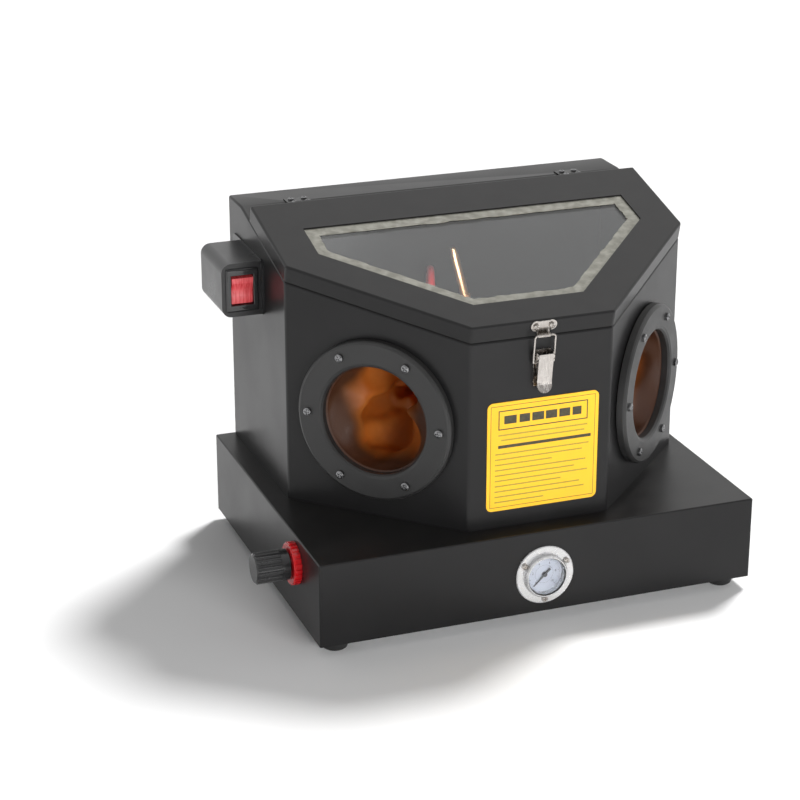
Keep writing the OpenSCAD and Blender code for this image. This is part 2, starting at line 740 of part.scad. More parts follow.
// --------------------------------------------------------------- label
label_w = 117;
label_h = 113;
label_z = 74.5;
label_off = 3;
module label_plate() {
    r = 6;
    color("#f2cf1d") on_face([cab_x + label_off, y_front, z_top + label_z], 0) linear_extrude(0.6) {
        square([label_w - 2 * r, label_h], center = true);
        square([label_w, label_h - 2 * r], center = true);
        for (x = [-1, 1], y = [-1, 1]) translate([x * (label_w / 2 - r), y * (label_h / 2 - r)]) circle(r);
    }
}

// --------------------------------------------------------------- gauge
dial_d = case_d - 5;
module gauge_case() {
    r = case_d / 2;
    color("#d8dadc") at_gauge() difference() {
        union() {
            rotate_extrude($fn = 128) polygon([[0, -case_in], [r - 1.5, -case_in],
                [r, -case_in + 1.5], [r, 0],
                [flange_d / 2, 0], [flange_d / 2, flange_t - 0.8], [flange_d / 2 - 0.8, flange_t],
                [r + 1, flange_t], [r + 0.6, bezel_out - 1.5], [r - 0.6, bezel_out], [0, bezel_out]]);
            translate([0, 0, -case_in - 12]) cylinder(d = 11, h = 13);
        }
        translate([0, 0, flange_t - 4]) cylinder(d = dial_d, h = 20);
        translate([0, 0, bezel_out - 2.2]) cylinder(d = dial_d + 2, h = 5);
        for (a = [30, 150, 270]) rotate(a) translate([flange_pcd / 2, 0, -5])
            cylinder(d = 3 + hole_gap, h = 20);
        translate([0, 0, -case_in - 13]) cylinder(d = 6, h = 12);
    }
}
module gauge_dial() {
    color("#eef2f6") at_gauge() translate([0, 0, flange_t - 4]) {
        difference() {
            cylinder(d = dial_d - 0.2, h = 1);
            translate([0, 0, -eps]) cylinder(d = 2.2, h = 5);
        }
    }
}
module gauge_pointer() {
    color("#1b1b1d") at_gauge() {
        translate([0, 0, flange_t - 3.9]) cylinder(d = 1.6, h = 3.6);
        translate([0, 0, flange_t - 2]) cylinder(d = 5, h = 1.4);
        rotate(needle_angle) translate([0, 0, flange_t - 1.7]) linear_extrude(0.6)
            polygon([[-8, -1.2], [-8, 1.2], [0, 0.9], [dial_d / 2 - 3, 0.25],
                [dial_d / 2 - 3, -0.25], [0, -0.9]]);
    }
}
module gauge_glass() {
    color([0.85, 0.9, 0.95, 0.35]) at_gauge() translate([0, 0, bezel_out - 2.2])
        cylinder(d = dial_d + 1.9, h = 1.2);
}
module gauge_screws() {
    color("#b9bbbd") at_gauge() for (a = [30, 150, 270]) rotate(a)
        translate([flange_pcd / 2, 0, flange_t]) {
            screw(3, flange_t + sheet + 6);
            translate([0, 0, -flange_t - sheet - 3]) nut(3, 2.8);
        }
}

// ----------------------------------------------------------- regulator
reg_body_d = 46;
module regulator_body() {
    color("#5a5d60") at_lock() difference() {
        union() {
            translate([0, 0, -8]) cylinder(d = 29.6, h = 8 + 1.5);
            translate([0, 0, -60]) cylinder(d = reg_body_d, h = 54.5 - 0.2);
            translate([-34, 0, -36]) rotate([0, 90, 0]) cylinder(d = 16, h = 68);
            translate([0, 0, -66]) cylinder(d = 20, h = 8);
        }
        translate([0, 0, -20]) cylinder(d = spindle_d + 2 * run_fit, h = 30);
        translate([-40, 0, -36]) rotate([0, 90, 0]) cylinder(d = hose_d + 2 * run_fit, h = 22);
    }
}
module regulator_spindle() {
    color("#a9abad") at_lock() {
        translate([0, 0, -15]) cylinder(d = spindle_d, h = 15 + lock_t + knob_gap + knob_l - 8);
    }
}
module lock_ring() {
    teeth = 24;
    color("#d31f22") at_lock() difference() {
        union() {
            cylinder(d = lock_d - 2, h = lock_t);
            for (i = [0:teeth - 1]) rotate(i * 360 / teeth) translate([lock_d / 2 - 2.6, -1.6, 0])
                cube([2.6, 3.2, lock_t - 1]);
        }
        translate([0, 0, -eps]) cylinder(d = 29.6 + 2 * hole_gap, h = 1.5 + eps + 0.2);
        translate([0, 0, -eps]) cylinder(d = spindle_d + 2 * hole_gap, h = 30);
    }
}
module regulator_knob() {
    flutes = 18;
    color("#141416") at_lock() translate([0, 0, lock_t + knob_gap]) difference() {
        union() {
            cylinder(d = knob_d, h = knob_l - 2);
            translate([0, 0, knob_l - 2]) cylinder(d1 = knob_d, d2 = knob_d - 4, h = 2);
        }
        for (i = [0:flutes - 1]) rotate(i * 360 / flutes) translate([knob_d / 2 + 1, 0, 8])
            cylinder(d = 4.4, h = knob_l, $fn = 24);
        translate([0, 0, -eps]) cylinder(d = spindle_d + 2 * run_fit, h = knob_l - 7 + eps);
    }
}

// ---------------------------------------------------------- switch box
module box_round(w, h, r, l) {
    linear_extrude(l) {
        translate([0, -h / 2]) square([w - r, h]);
        translate([0, -h / 2 + r]) square([w, h - 2 * r]);
        for (s = [-1, 1]) translate([w - r, s * (h / 2 - r)]) circle(r, $fn = 48);
    }
}
// a frame on the switch box: x off the cabinet, y up, z to the front
module at_switch() {
    placed() translate([sw_x, sw_front, z_top + sw_z]) rotate([90, 0, 0]) mirror([1, 0, 0]) children();
}
module switch_housing() {
    color("#18181a") at_switch() difference() {
        union() {
            translate([sw_flange_t - 0.1, 0, -sw_l])
                box_round(sw_out - sw_flange_t + 0.1, sw_h - 3, sw_round, sw_l);
            // the flange plate against the cabinet's side
            translate([0, 0, 3 - sw_flange_l]) rotate([0, 90, 0]) translate([-sw_flange_l, 0, 0])
                linear_extrude(sw_flange_t) {
                    translate([6, -sw_h / 2]) square([sw_flange_l - 12, sw_h]);
                    translate([0, 6 - sw_h / 2]) square([sw_flange_l, sw_h - 12]);
                    for (x = [6, sw_flange_l - 6], y = [-1, 1])
                        translate([x, y * (sw_h / 2 - 6)]) circle(6, $fn = 32);
                }
        }
        translate([-eps, 0, -sw_l + sw_wall])
            box_round(sw_out - sw_wall + eps, sw_h - 3 - 2 * sw_wall, sw_round - 2, sw_l - 2 * sw_wall);
        // the seat of the rocker's bezel
        translate([(sw_out + 1) / 2, 0, -10]) linear_extrude(20)
            square([rocker_w, rocker_h] + [1, 1] * (neck_wall + neck_play), center = true);
    }
}
module switch_bezel() {
    color("#101012") at_switch() translate([(sw_out + 1) / 2, 0, 0]) difference() {
        union() {
            linear_extrude(2.4) square([bezel_w, bezel_h], center = true);
            translate([0, 0, -neck_l]) linear_extrude(neck_l)
                square([rocker_w, rocker_h] + [1, 1] * neck_wall, center = true);
        }
        translate([0, 0, -9]) linear_extrude(20) square([rocker_w + 0.8, rocker_h + 0.8], center = true);
        translate([0, 0, -4]) bar(2.4 + 2 * run_fit, rocker_w / 2 + 1.6);
    }
}
rocker_tilt = 8;
module switch_rocker() {
    color("#c5282c") at_switch() translate([(sw_out + 1) / 2, 0, -4]) rotate([rocker_tilt, 0, 0]) {
        bar(2.4, rocker_w / 2 + 1.4);
        difference() {
            translate([-rocker_w / 2, 1 - rocker_h / 2, -3]) cube([rocker_w, rocker_h - 2, 8.5]);
            translate([-rocker_w, 0, 26.5]) rotate([0, 90, 0])
                cylinder(r = 22.6, h = 2 * rocker_w, $fn = 96);
            for (s = [-1, 1]) translate([-rocker_w, s * (rocker_h / 2 - 1), -3.6]) rotate([s * 22, 0, 0])
                translate([0, -3, -3]) cube([2 * rocker_w, 6, 3.2]);
        }
    }
}

// -------------------------------------------------------- rear fittings
module dust_port() {
    color("#1d1d1f") on_face([dust_x, y_back, dust_z], 180) difference() {
        union() {
            cylinder(d = 72, h = 3);
            translate([0, 0, -sheet - 4]) cylinder(d = dust_d, h = dust_l + sheet + 4);
        }
        translate([0, 0, -20]) cylinder(d = dust_d - 5, h = 80);
        for (a = [45:90:315]) rotate(a) translate([30, 0, -eps]) cylinder(d = 3 + hole_gap, h = 5);
    }
}
module air_inlet() {
    color("#b08d4a") on_face([inlet_x, y_base, inlet_z], 180) difference() {
        union() {
            cylinder(d = 18, h = 5, $fn = 6);
            translate([0, 0, 5]) cylinder(d = 10, h = 3);
            translate([0, 0, 8]) cylinder(d = plug_d, h = inlet_l - 8);
            translate([0, 0, 15]) cylinder(d1 = plug_d, d2 = plug_d + 2, h = 1.5);
            translate([0, 0, 16.5]) cylinder(d1 = plug_d + 2, d2 = plug_d, h = 1.5);
            translate([0, 0, -sheet - 14]) cylinder(d = 12, h = sheet + 14);
            translate([0, 0, -sheet - 4]) cylinder(d = 17, h = 3.9, $fn = 6);
        }
        translate([0, 0, -40]) cylinder(d = 4, h = 80);
    }
}
module power_inlet() {
    color("#111113") on_face([power_x, y_base, inlet_z], 180) difference() {
        union() {
            cylinder(d = 15, h = 2.4);
            translate([0, 0, -sheet - 12]) cylinder(d = 11, h = sheet + 12);
            translate([0, 0, -sheet - 3.1]) cylinder(d = 14, h = 3, $fn = 6);
        }
        translate([0, 0, -9]) cylinder(d = 5.6, h = 20);
    }
    color("#c0c2c4") on_face([power_x, y_base, inlet_z], 180)
        translate([0, 0, -9.2]) cylinder(d = 2, h = 10);
}

// ---------------------------------------------------------------- lamp
lamp_l = 260;
lamp_d = 20;
lamp_y = y_back - sheet - 1 - lamp_d;
module lamp_housing() {
    color("#c9cbcd") on_cab() translate([-lamp_l / 2, lamp_y, cab_h - sheet - 16.2]) difference() {
        cube([lamp_l, lamp_d, 16]);
        translate([2, 2, -eps]) cube([lamp_l - 4, lamp_d - 4, 10]);
    }
}
module lamp_lens() {
    color([0.95, 0.97, 1, 0.6]) on_cab()
        translate([-lamp_l / 2 + 2.2, lamp_y + 2.2, cab_h - sheet - 16.2 + 0.6])
        cube([lamp_l - 4.4, lamp_d - 4.4, 3]);
}

// ----------------------------------------------------------------- gun
module at_gun() { placed() translate(gun_at) rotate([0, gun_tilt, 0]) children(); }
trigger_at = [gun_d / 2 + 3, 0, gun_l - 8];
trigger_l = 24;
trigger_lean = 12;
module gun_body() {
    color("#3d3f42") at_gun() difference() {
        union() {
            rotate_extrude() polygon([[0, 0], [7, 0], [7, 6], [gun_d / 2, 8], [gun_d / 2, gun_l - 6],
                [8, gun_l], [0, gun_l]]);
            // the ears that carry the trigger
            for (s = [-1, 1]) translate([6, s > 0 ? 2.7 : -4.3, gun_l - 12]) cube([gun_d / 2, 1.6, 8]);
        }
        translate([0, 0, gun_l - 16]) cylinder(d = nozzle_d - 1, h = 30);
        translate([0, 0, -eps]) cylinder(d = hose_d + 2 * run_fit, h = 8 + eps);
        translate(trigger_at) rotate([90, 0, 0]) cylinder(d = 2 + 2 * run_fit, h = 20, center = true);
    }
}
module gun_nozzle() {
    color("#b9773f") at_gun() translate([0, 0, gun_l]) difference() {
        union() {
            translate([0, 0, 0.02]) cylinder(d = nozzle_d + 3, h = 6, $fn = 6);
            translate([0, 0, 6]) cylinder(d = nozzle_d, h = nozzle_l - 14);
            translate([0, 0, 22]) cylinder(d = nozzle_d + 1, h = 2);
            translate([0, 0, nozzle_l - 8]) cylinder(d1 = nozzle_d, d2 = nozzle_d - 3, h = 8);
            translate([0, 0, -15]) cylinder(d = nozzle_d - 1.1, h = 16);
        }
        translate([0, 0, -20]) cylinder(d = 3, h = nozzle_l + 40);
    }
}
module gun_trigger() {
    color("#8f9295") at_gun() translate(trigger_at) {
        rotate([90, 0, 0]) cylinder(d = 5, h = 5, center = true);
        rotate([0, -trigger_lean, 0]) translate([-1, -2.2, -trigger_l]) cube([2, 4.4, trigger_l]);
        rotate([90, 0, 0]) cylinder(d = 2, h = 8.6, center = true);
    }
}
module gun_holder() {
    post_x = 34;
    color("#7b7e81") placed() {
        translate([gun_at[0] + post_x, gun_at[1], grate_z + grate_t]) {
            cylinder(d = 44, h = 2);
            cylinder(d = 10, h = gun_at[2] - grate_z - grate_t + 12);
        }
    }
    color("#7b7e81") at_gun() difference() {
        union() {
            translate([0, 0, 10]) cylinder(d = gun_d + 6, h = 10);
            translate([0, -4, 10]) cube([post_x - 2, 8, 8]);
        }
        translate([0, 0, 5]) cylinder(d = gun_d + 0.3, h = 30);
    }
}

// ---------------------------------------------------------------- hose
// the red air hose, from the regulator up through the floor to the gun
function gun_line(t) = gun_at + t * [sin(gun_tilt), 0, cos(gun_tilt)];
hose_route = [[reg_x + 36, reg_y + 20, reg_z], [reg_x + 36, reg_y + 44, reg_z],
    [reg_x + 36, reg_y + 68, reg_z], [-150, 60, 60], [-80, 135, 55], [-16, 160, 56],
    [grommet_at[0] - 4, grommet_at[1] - 1, 72], [grommet_at[0], grommet_at[1], 88], [grommet_at[0], grommet_at[1], 120],
    [grommet_at[0], grommet_at[1], 180], [grommet_at[0], grommet_at[1] - 1, 226],
    [7, 155, 256], [0, 134, 269], [-7, 113, 258], [-13, 101, 234], [-26, 80, 206], [-34, 58, 180],
    [-26, 48, 156], [-3, 46, 146], [20, 46, 154], gun_line(-37), gun_line(-20), gun_line(-8),
    gun_line(7)];
function bez(p, i, t) = let (n = len(p), a = p[max(i - 1, 0)], b = p[i], c = p[min(i + 1, n - 1)],
        d = p[min(i + 2, n - 1)])
    0.5 * (2 * b + (c - a) * t + (2 * a - 5 * b + 4 * c - d) * t * t + (3 * b - a - 3 * c + d) * t * t * t);
function curve(p, k) = [for (i = [0:len(p) - 2], j = [0:k - 1]) bez(p, i, j / k)];
function unit(v) = v / norm(v);
module tube(path, d, sides) {
    n = len(path);
    tang = [for (i = [0:n - 1]) unit(path[min(i + 1, n - 1)] - path[max(i - 1, 0)])];
    ref = [0.7, -0.7, 0.1];
    pts = [for (i = [0:n - 1]) let (u = unit(cross(tang[i], ref)), v = cross(tang[i], u))
        for (j = [0:sides - 1]) path[i] + d / 2 * (cos(360 * j / sides) * u + sin(360 * j / sides) * v)];
    walls = [for (i = [0:n - 2], j = [0:sides - 1]) let (k = (j + 1) % sides)
        [i * sides + j, i * sides + k, (i + 1) * sides + k, (i + 1) * sides + j]];
    ends = [[for (j = [sides - 1:-1:0]) j], [for (j = [0:sides - 1]) (n - 1) * sides + j]];
    polyhedron(pts, concat(walls, ends));
}
module air_hose() {
    color("#b3262a") placed()
        tube(concat(curve(hose_route, 4), [hose_route[len(hose_route) - 1]]), hose_d, 10);
}

base_housing();
base_bottom_plate();
base_screws();
foot_front_left();
foot_front_right();
foot_rear_left();
foot_rear_right();
foot_screws();
cabinet_shell();
cabinet_floor();
media_tray();
work_grate();
glove_ring_left();
glove_ring_right();
backing_ring_left();
backing_ring_right();
ring_screws_left();
ring_screws_right();
glove_left();
glove_right();
lid_shell();
window_glass();
window_seal();
window_clips();
clip_screws();
lid_gasket();
hinge_body_leaves();
hinge_lid_leaves();
hinge_pins();
hinge_body_screws();
hinge_lid_screws();
latch_base();
latch_screws();
latch_lever();
latch_loop();
latch_catch();
catch_screws();
label_plate();
gauge_case();
gauge_dial();
gauge_pointer();
gauge_glass();
gauge_screws();
regulator_body();
regulator_spindle();
lock_ring();
regulator_knob();
switch_housing();
switch_bezel();
switch_rocker();
dust_port();
air_inlet();
power_inlet();
lamp_housing();
lamp_lens();
gun_body();
gun_nozzle();
gun_trigger();
gun_holder();
air_hose();
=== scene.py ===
import math

import bmesh
import bpy
from mathutils import Matrix, Vector, noise


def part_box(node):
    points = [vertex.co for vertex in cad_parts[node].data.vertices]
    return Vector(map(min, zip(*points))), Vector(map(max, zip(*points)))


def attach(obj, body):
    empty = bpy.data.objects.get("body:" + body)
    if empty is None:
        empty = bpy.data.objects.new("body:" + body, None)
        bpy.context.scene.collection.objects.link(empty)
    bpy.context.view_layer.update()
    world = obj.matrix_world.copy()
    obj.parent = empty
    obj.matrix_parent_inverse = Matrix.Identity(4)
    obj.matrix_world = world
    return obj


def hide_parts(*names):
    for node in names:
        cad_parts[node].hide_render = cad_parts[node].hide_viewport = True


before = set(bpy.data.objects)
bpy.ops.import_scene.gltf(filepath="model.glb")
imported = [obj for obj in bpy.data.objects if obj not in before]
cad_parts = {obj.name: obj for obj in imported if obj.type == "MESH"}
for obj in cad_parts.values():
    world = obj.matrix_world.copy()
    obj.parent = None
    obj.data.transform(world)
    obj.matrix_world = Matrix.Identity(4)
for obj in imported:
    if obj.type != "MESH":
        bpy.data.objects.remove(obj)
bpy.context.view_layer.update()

scene = bpy.context.scene

# ------------------------------------------------------------------ camera
# A long lens standing a little to the left of the machine's front and above it,
# as a maker would look at the bench before reaching for the gloves.
camera_data = bpy.data.cameras.new("camera")
camera_data.lens, camera_data.sensor_width = 103.2, 36
camera = bpy.data.objects.new("camera", camera_data)
camera.location = (-0.8138, -2.0482, 1.0282)
look_down, look_right = 21.284, 20.257
camera.rotation_euler = (math.radians(90 - look_down), 0, math.radians(-look_right))
scene.collection.objects.link(camera)
scene.camera = camera

# ---------------------------------------------------------- floor and light
# A white seamless floor in a studio tent that shows bright in glossy faces and lights
# the rest less. A broad sun from behind on the right throws the shadow, a lamp in
# front lifts the dark panels, and a small one inside the chamber lights the gun.
scene.view_settings.view_transform = "Standard"

paper = bpy.data.materials.new("studio_paper")
paper.use_nodes = True
paper.node_tree.nodes["Principled BSDF"].inputs["Base Color"].default_value = (0.93, 0.93, 0.93, 1)
paper.node_tree.nodes["Principled BSDF"].inputs["Roughness"].default_value = 0.9
floor_mesh = bpy.data.meshes.new("studio_floor")
floor_bm = bmesh.new()
bmesh.ops.create_grid(floor_bm, x_segments=1, y_segments=1, size=30)
floor_bm.to_mesh(floor_mesh)
floor_bm.free()
floor_mesh.materials.append(paper)
studio_floor = bpy.data.objects.new("studio_floor", floor_mesh)
scene.collection.objects.link(studio_floor)

tent = bpy.data.worlds.new("studio_tent")
scene.world = tent
tent.use_nodes = True
tent_nodes, tent_links = tent.node_tree.nodes, tent.node_tree.links
direction = tent_nodes.new("ShaderNodeTexCoord")
split = tent_nodes.new("ShaderNodeSeparateXYZ")
depth = tent_nodes.new("ShaderNodeMapRange")
tent_links.new(direction.outputs["Generated"], split.inputs[0])
tent_links.new(split.outputs["Y"], depth.inputs["Value"])
for socket, value in {"From Min": -0.9, "From Max": 0.1, "To Min": 0.5, "To Max": 1.0}.items():
    depth.inputs[socket].default_value = value
tent_fill = 0.34
ray = tent_nodes.new("ShaderNodeLightPath")
dimmed = tent_nodes.new("ShaderNodeMapRange")
tent_links.new(ray.outputs["Is Diffuse Ray"], dimmed.inputs["Value"])
dimmed.inputs["To Min"].default_value, dimmed.inputs["To Max"].default_value = 1.0, tent_fill
level = tent_nodes.new("ShaderNodeMath")
level.operation = "MULTIPLY"
tent_links.new(depth.outputs["Result"], level.inputs[0])
tent_links.new(dimmed.outputs["Result"], level.inputs[1])
tent_links.new(level.outputs[0], tent_nodes["Background"].inputs["Strength"])
tent_nodes["Background"].inputs["Color"].default_value = (1.0, 1.0, 1.0, 1)


def soft_lamp(name, place, aim, size, power, mirrored=False):
    """A square area lamp at place, turned to aim, and seen in glossy faces only if mirrored."""
    data = bpy.data.lights.new(name, "AREA")
    data.size, data.energy = size, power
    lamp = bpy.data.objects.new(name, data)
    lamp.location = place
    lamp.visible_glossy = mirrored
    lamp.rotation_euler = (Vector(aim) - Vector(place)).to_track_quat("-Z", "Y").to_euler()
    scene.collection.objects.link(lamp)


middle = (0, 0, 0.15)
sun = bpy.data.lights.new("key_sun", "SUN")
sun.energy, sun.angle = 3.4, math.radians(13)
key = bpy.data.objects.new("key_sun", sun)
key.rotation_euler = Vector((1.3, 1.0, 2.1)).to_track_quat("Z", "Y").to_euler()
key.visible_glossy = False
scene.collection.objects.link(key)
soft_lamp("front_lamp", (0.2, -2.4, 0.4), middle, 1.2, 62)
soft_lamp("chamber_light", (-0.02, -0.06, 0.27), (0.04, 0.06, 0.2), 0.05, 0.35, mirrored=True)

# ------------------------------------------------------------- base housing
# A flat box folded from 1.5 mm sheet steel and powder coated in satin black. The
# folds are rounded, and the lower edges turn in to take the bottom plate.
def effect_group(name, inputs, outputs):
    """An empty shader node group with those sockets."""
    tree = bpy.data.node_groups.new(name, "ShaderNodeTree")
    for socket, kind, value in inputs:
        made = tree.interface.new_socket(name=socket, in_out="INPUT", socket_type="NodeSocket" + kind)
        made.default_value = value
    for socket, kind in outputs:
        tree.interface.new_socket(name=socket, in_out="OUTPUT", socket_type="NodeSocket" + kind)
    return tree, tree.nodes.new("NodeGroupInput").outputs, tree.nodes.new("NodeGroupOutput").inputs


def add(tree, kind, values=None, **settings):
    """A new node of that kind, with its settings and its unlinked sockets' values."""
    made = tree.nodes.new("ShaderNode" + kind)
    for key, value in settings.items():
        setattr(made, key, value)
    for socket, value in (values or {}).items():
        if isinstance(value, bpy.types.NodeSocket):
            tree.links.new(value, made.inputs[socket])
        else:
            made.inputs[socket].default_value = value
    return made


# grain: cloudy colour, uneven gloss and a fine height that can be drawn out into strokes
grain, given, out = effect_group(
    "surface_grain",
    [("Colour", "Color", (0.5, 0.5, 0.5, 1)), ("Cloud Colour", "Color", (0.5, 0.5, 0.5, 1)),
     ("Cloud Scale", "Float", 20.0), ("Roughness", "Float", 0.4), ("Gloss Spread", "Float", 0.1),
     ("Grain Scale", "Float", 900.0), ("Stretch", "Vector", (1, 1, 1))],
    [("Colour", "Color"), ("Roughness", "Float"), ("Height", "Float")])
where = add(grain, "TexCoord").outputs["Object"]
drawn = add(grain, "VectorMath", {0: where, 1: given["Stretch"]}, operation="MULTIPLY").outputs[0]
cloud = add(grain, "TexNoise", {"Vector": drawn, "Scale": given["Cloud Scale"], "Detail": 3.0}).outputs[0]
clear = add(grain, "MapRange", {"Value": cloud, "From Min": 0.35, "From Max": 0.65}).outputs[0]
mixed = add(grain, "Mix", {"Factor": clear, 6: given["Colour"], 7: given["Cloud Colour"]}, data_type="RGBA")
fine = add(grain, "TexNoise", {"Vector": drawn, "Scale": given["Grain Scale"], "Detail": 2.0}).outputs[0]
uneven = add(grain, "Math", {0: clear, 1: -0.5}, operation="ADD").outputs[0]
gloss = add(grain, "Math", {0: uneven, 1: given["Gloss Spread"], 2: given["Roughness"]},
            operation="MULTIPLY_ADD")
grain.links.new(mixed.outputs[2], out["Colour"])
grain.links.new(gloss.outputs[0], out["Roughness"])
grain.links.new(fine, out["Height"])

# dust: a thin pale film that lies on faces that look up
dust, given, out = effect_group(
    "settled_dust",
    [("Colour", "Color", (0.5, 0.5, 0.5, 1)), ("Roughness", "Float", 0.4),
     ("Dust Colour", "Color", (0.35, 0.33, 0.3, 1)), ("Amount", "Float", 0.1)],
    [("Colour", "Color"), ("Roughness", "Float")])
facing = add(dust, "SeparateXYZ", {0: add(dust, "NewGeometry").outputs["Normal"]}).outputs["Z"]
lying = add(dust, "MapRange", {"Value": facing, "From Min": 0.5, "From Max": 1.0}).outputs[0]
drift = add(dust, "TexNoise",
            {"Vector": add(dust, "TexCoord").outputs["Object"], "Scale": 45.0, "Detail": 6.0})
thick = add(dust, "Math", {0: lying, 1: drift.outputs[0]}, operation="MULTIPLY").outputs[0]
film = add(dust, "Math", {0: thick, 1: given["Amount"]}, operation="MULTIPLY").outputs[0]
dulled = add(dust, "Mix", {"Factor": film, 6: given["Colour"], 7: given["Dust Colour"]}, data_type="RGBA")
matter = add(dust, "Math", {0: film, 1: 0.8, 2: given["Roughness"]}, operation="MULTIPLY_ADD")
dust.links.new(dulled.outputs[2], out["Colour"])
dust.links.new(matter.outputs[0], out["Roughness"])


def finish_of(name, colour, cloud_colour, roughness, spread=0.08, cloud_scale=20.0, grain_scale=900.0,
              stretch=(1, 1, 1), bump=0.2, depth=0.0002, dusty=0.0, metallic=0.0, **plain):
    """A material from the shared grain and dust, with its constant values on the shader itself."""
    material = bpy.data.materials.new(name)
    material.use_nodes = True
    tree = material.node_tree
    shader = tree.nodes["Principled BSDF"]
    made = add(tree, "Group", node_tree=grain)
    for socket, value in {"Colour": (*colour, 1), "Cloud Colour": (*cloud_colour, 1), "Roughness": roughness,
                          "Gloss Spread": spread, "Cloud Scale": cloud_scale, "Grain Scale": grain_scale,
                          "Stretch": stretch}.items():
        made.inputs[socket].default_value = value
    last = made
    if dusty:
        last = add(tree, "Group", node_tree=dust)
        last.inputs["Amount"].default_value = dusty
        tree.links.new(made.outputs["Colour"], last.inputs["Colour"])
        tree.links.new(made.outputs["Roughness"], last.inputs["Roughness"])
    relief = add(tree, "Bump", {"Strength": bump, "Distance": depth, "Height": made.outputs["Height"]})
    tree.links.new(last.outputs["Colour"], shader.inputs["Base Color"])
    tree.links.new(last.outputs["Roughness"], shader.inputs["Roughness"])
    tree.links.new(relief.outputs["Normal"], shader.inputs["Normal"])
    shader.inputs["Metallic"].default_value = metallic
    for socket, value in plain.items():
        shader.inputs[socket.replace("_", " ")].default_value = value
    return material


def place(bm, name, body, material, slot, stands_for=(), crease=32, weighted=True):
    """The bmesh as a finished piece, smooth up to the crease angle, riding on its body."""
    for face in bm.faces:
        face.smooth = True
    for edge in bm.edges:
        edge.smooth = len(edge.link_faces) == 2 and edge.calc_face_angle(0) < math.radians(crease)
    mesh = bpy.data.meshes.new(name)
    bm.to_mesh(mesh)
    bm.free()
    mesh.materials.append(material)
    piece = bpy.data.objects.new(name, mesh)
    scene.collection.objects.link(piece)
    if weighted:
        flats = piece.modifiers.new("flats", "WEIGHTED_NORMAL")
        flats.keep_sharp = True
    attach(piece, body)
    if stands_for:
        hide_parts(*stands_for)
    return piece


def merged(node):
    """A bmesh of a CAD node with its loose triangles joined and its flats cleared of seams."""
    bm = bmesh.new()
    bm.from_mesh(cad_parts[node].data)
    bmesh.ops.remove_doubles(bm, verts=bm.verts, dist=1e-5)
    bmesh.ops.dissolve_limit(bm, angle_limit=math.radians(0.6), verts=bm.verts, edges=bm.edges)
    return bm


def round_over(bm, edges, width, segments=3):
    """The edges rounded to that width."""
    bmesh.ops.bevel(bm, geom=edges, offset=width, offset_type="OFFSET", segments=segments, profile=0.5,
                    affect="EDGES", clamp_overlap=True, material=-1)


def is_fold(edge, shortest=0.02, turn=16):
    """True for a long outside corner between two faces."""
    return (edge.is_manifold and edge.is_convex and edge.calc_length() > shortest
            and edge.calc_face_angle(0) > math.radians(turn))


def dress(material, *nodes):
    """CAD nodes whose shape is right take the material."""
    for node in nodes:
        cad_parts[node].data.materials.clear()
        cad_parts[node].data.materials.append(material)


powder_black = finish_of("powder_black", (0.0082, 0.008, 0.0083), (0.0102, 0.01, 0.0103), 0.34, spread=0.05,
                         cloud_scale=14, grain_scale=1400, bump=0.22, depth=0.00012, dusty=0.03,
                         Specular_IOR_Level=0.27)
base_low, base_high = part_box("base_housing")


def on_base_faces(vert):
    """The outer faces of the base box, other than its underside, that the point lies on."""
    found = set()
    for axis, names in enumerate(("x", "y")):
        for side, level in (("-", base_low[axis]), ("+", base_high[axis])):
            if abs(vert.co[axis] - level) < 1e-5:
                found.add(names + side)
    if abs(vert.co.z - base_high.z) < 1e-5:
        found.add("top")
    return found


bm = merged("base_housing")
round_over(bm, [e for e in bm.edges
                if is_fold(e) and len(on_base_faces(e.verts[0]) & on_base_faces(e.verts[1])) > 1], 0.0016)
place(bm, "base_folded_sheet", "cabinet", powder_black, "powder_black", ["base_housing"])

# --------------------------------------------- bottom plate, screws and feet
# A zinc-plated plate closes the base from below with pan-head screws. Four
# tapered rubber feet are bolted through it, each with a nut inside the base.
zinc_plate = finish_of("zinc_plate", (0.42, 0.43, 0.44), (0.5, 0.51, 0.52), 0.42, spread=0.16, cloud_scale=55,
                       grain_scale=500, stretch=(1, 1, 6), bump=0.12, metallic=0.9, dusty=0.25)
screw_steel = finish_of("screw_steel", (0.5, 0.5, 0.51), (0.58, 0.58, 0.6), 0.3, cloud_scale=200,
                        grain_scale=2500, bump=0.1, metallic=1.0)
foot_rubber = finish_of("foot_rubber", (0.012, 0.012, 0.012), (0.018, 0.018, 0.018), 0.62, cloud_scale=90,
                        grain_scale=2200, bump=0.35, depth=0.0003)
dress(zinc_plate, "base_bottom_plate")
dress(screw_steel, "base_screws", "foot_screws")
for corner in ("front_left", "front_right", "rear_left", "rear_right"):
    bm = merged("foot_" + corner)
    round_over(bm, [e for e in bm.edges if is_fold(e, 0.0005, 40)], 0.0007, 2)
    place(bm, "rubber_foot_" + corner, "cabinet", foot_rubber, "foot_rubber", ["foot_" + corner])

# ----------------------------------------------------------- blasting chamber
# Six upright panels and a sloping rim, folded and welded from the same sheet, with
# rounded folds and the same black powder coat inside and out.
cab_low, cab_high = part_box("cabinet_shell")
cab_mid = (cab_low.x + cab_high.x) / 2
half_w = (cab_high.x - cab_low.x) / 2
front_half = 0.074
y_side = cab_low.y + half_w - front_half


def wall_depth(point):
    """How far a point lies inside the chamber's upright walls."""
    x = abs(point.x - cab_mid)
    slant = ((half_w - x) + (point.y - y_side)) / math.sqrt(2)
    return min(half_w - x, cab_high.y - point.y, point.y - cab_low.y, slant)


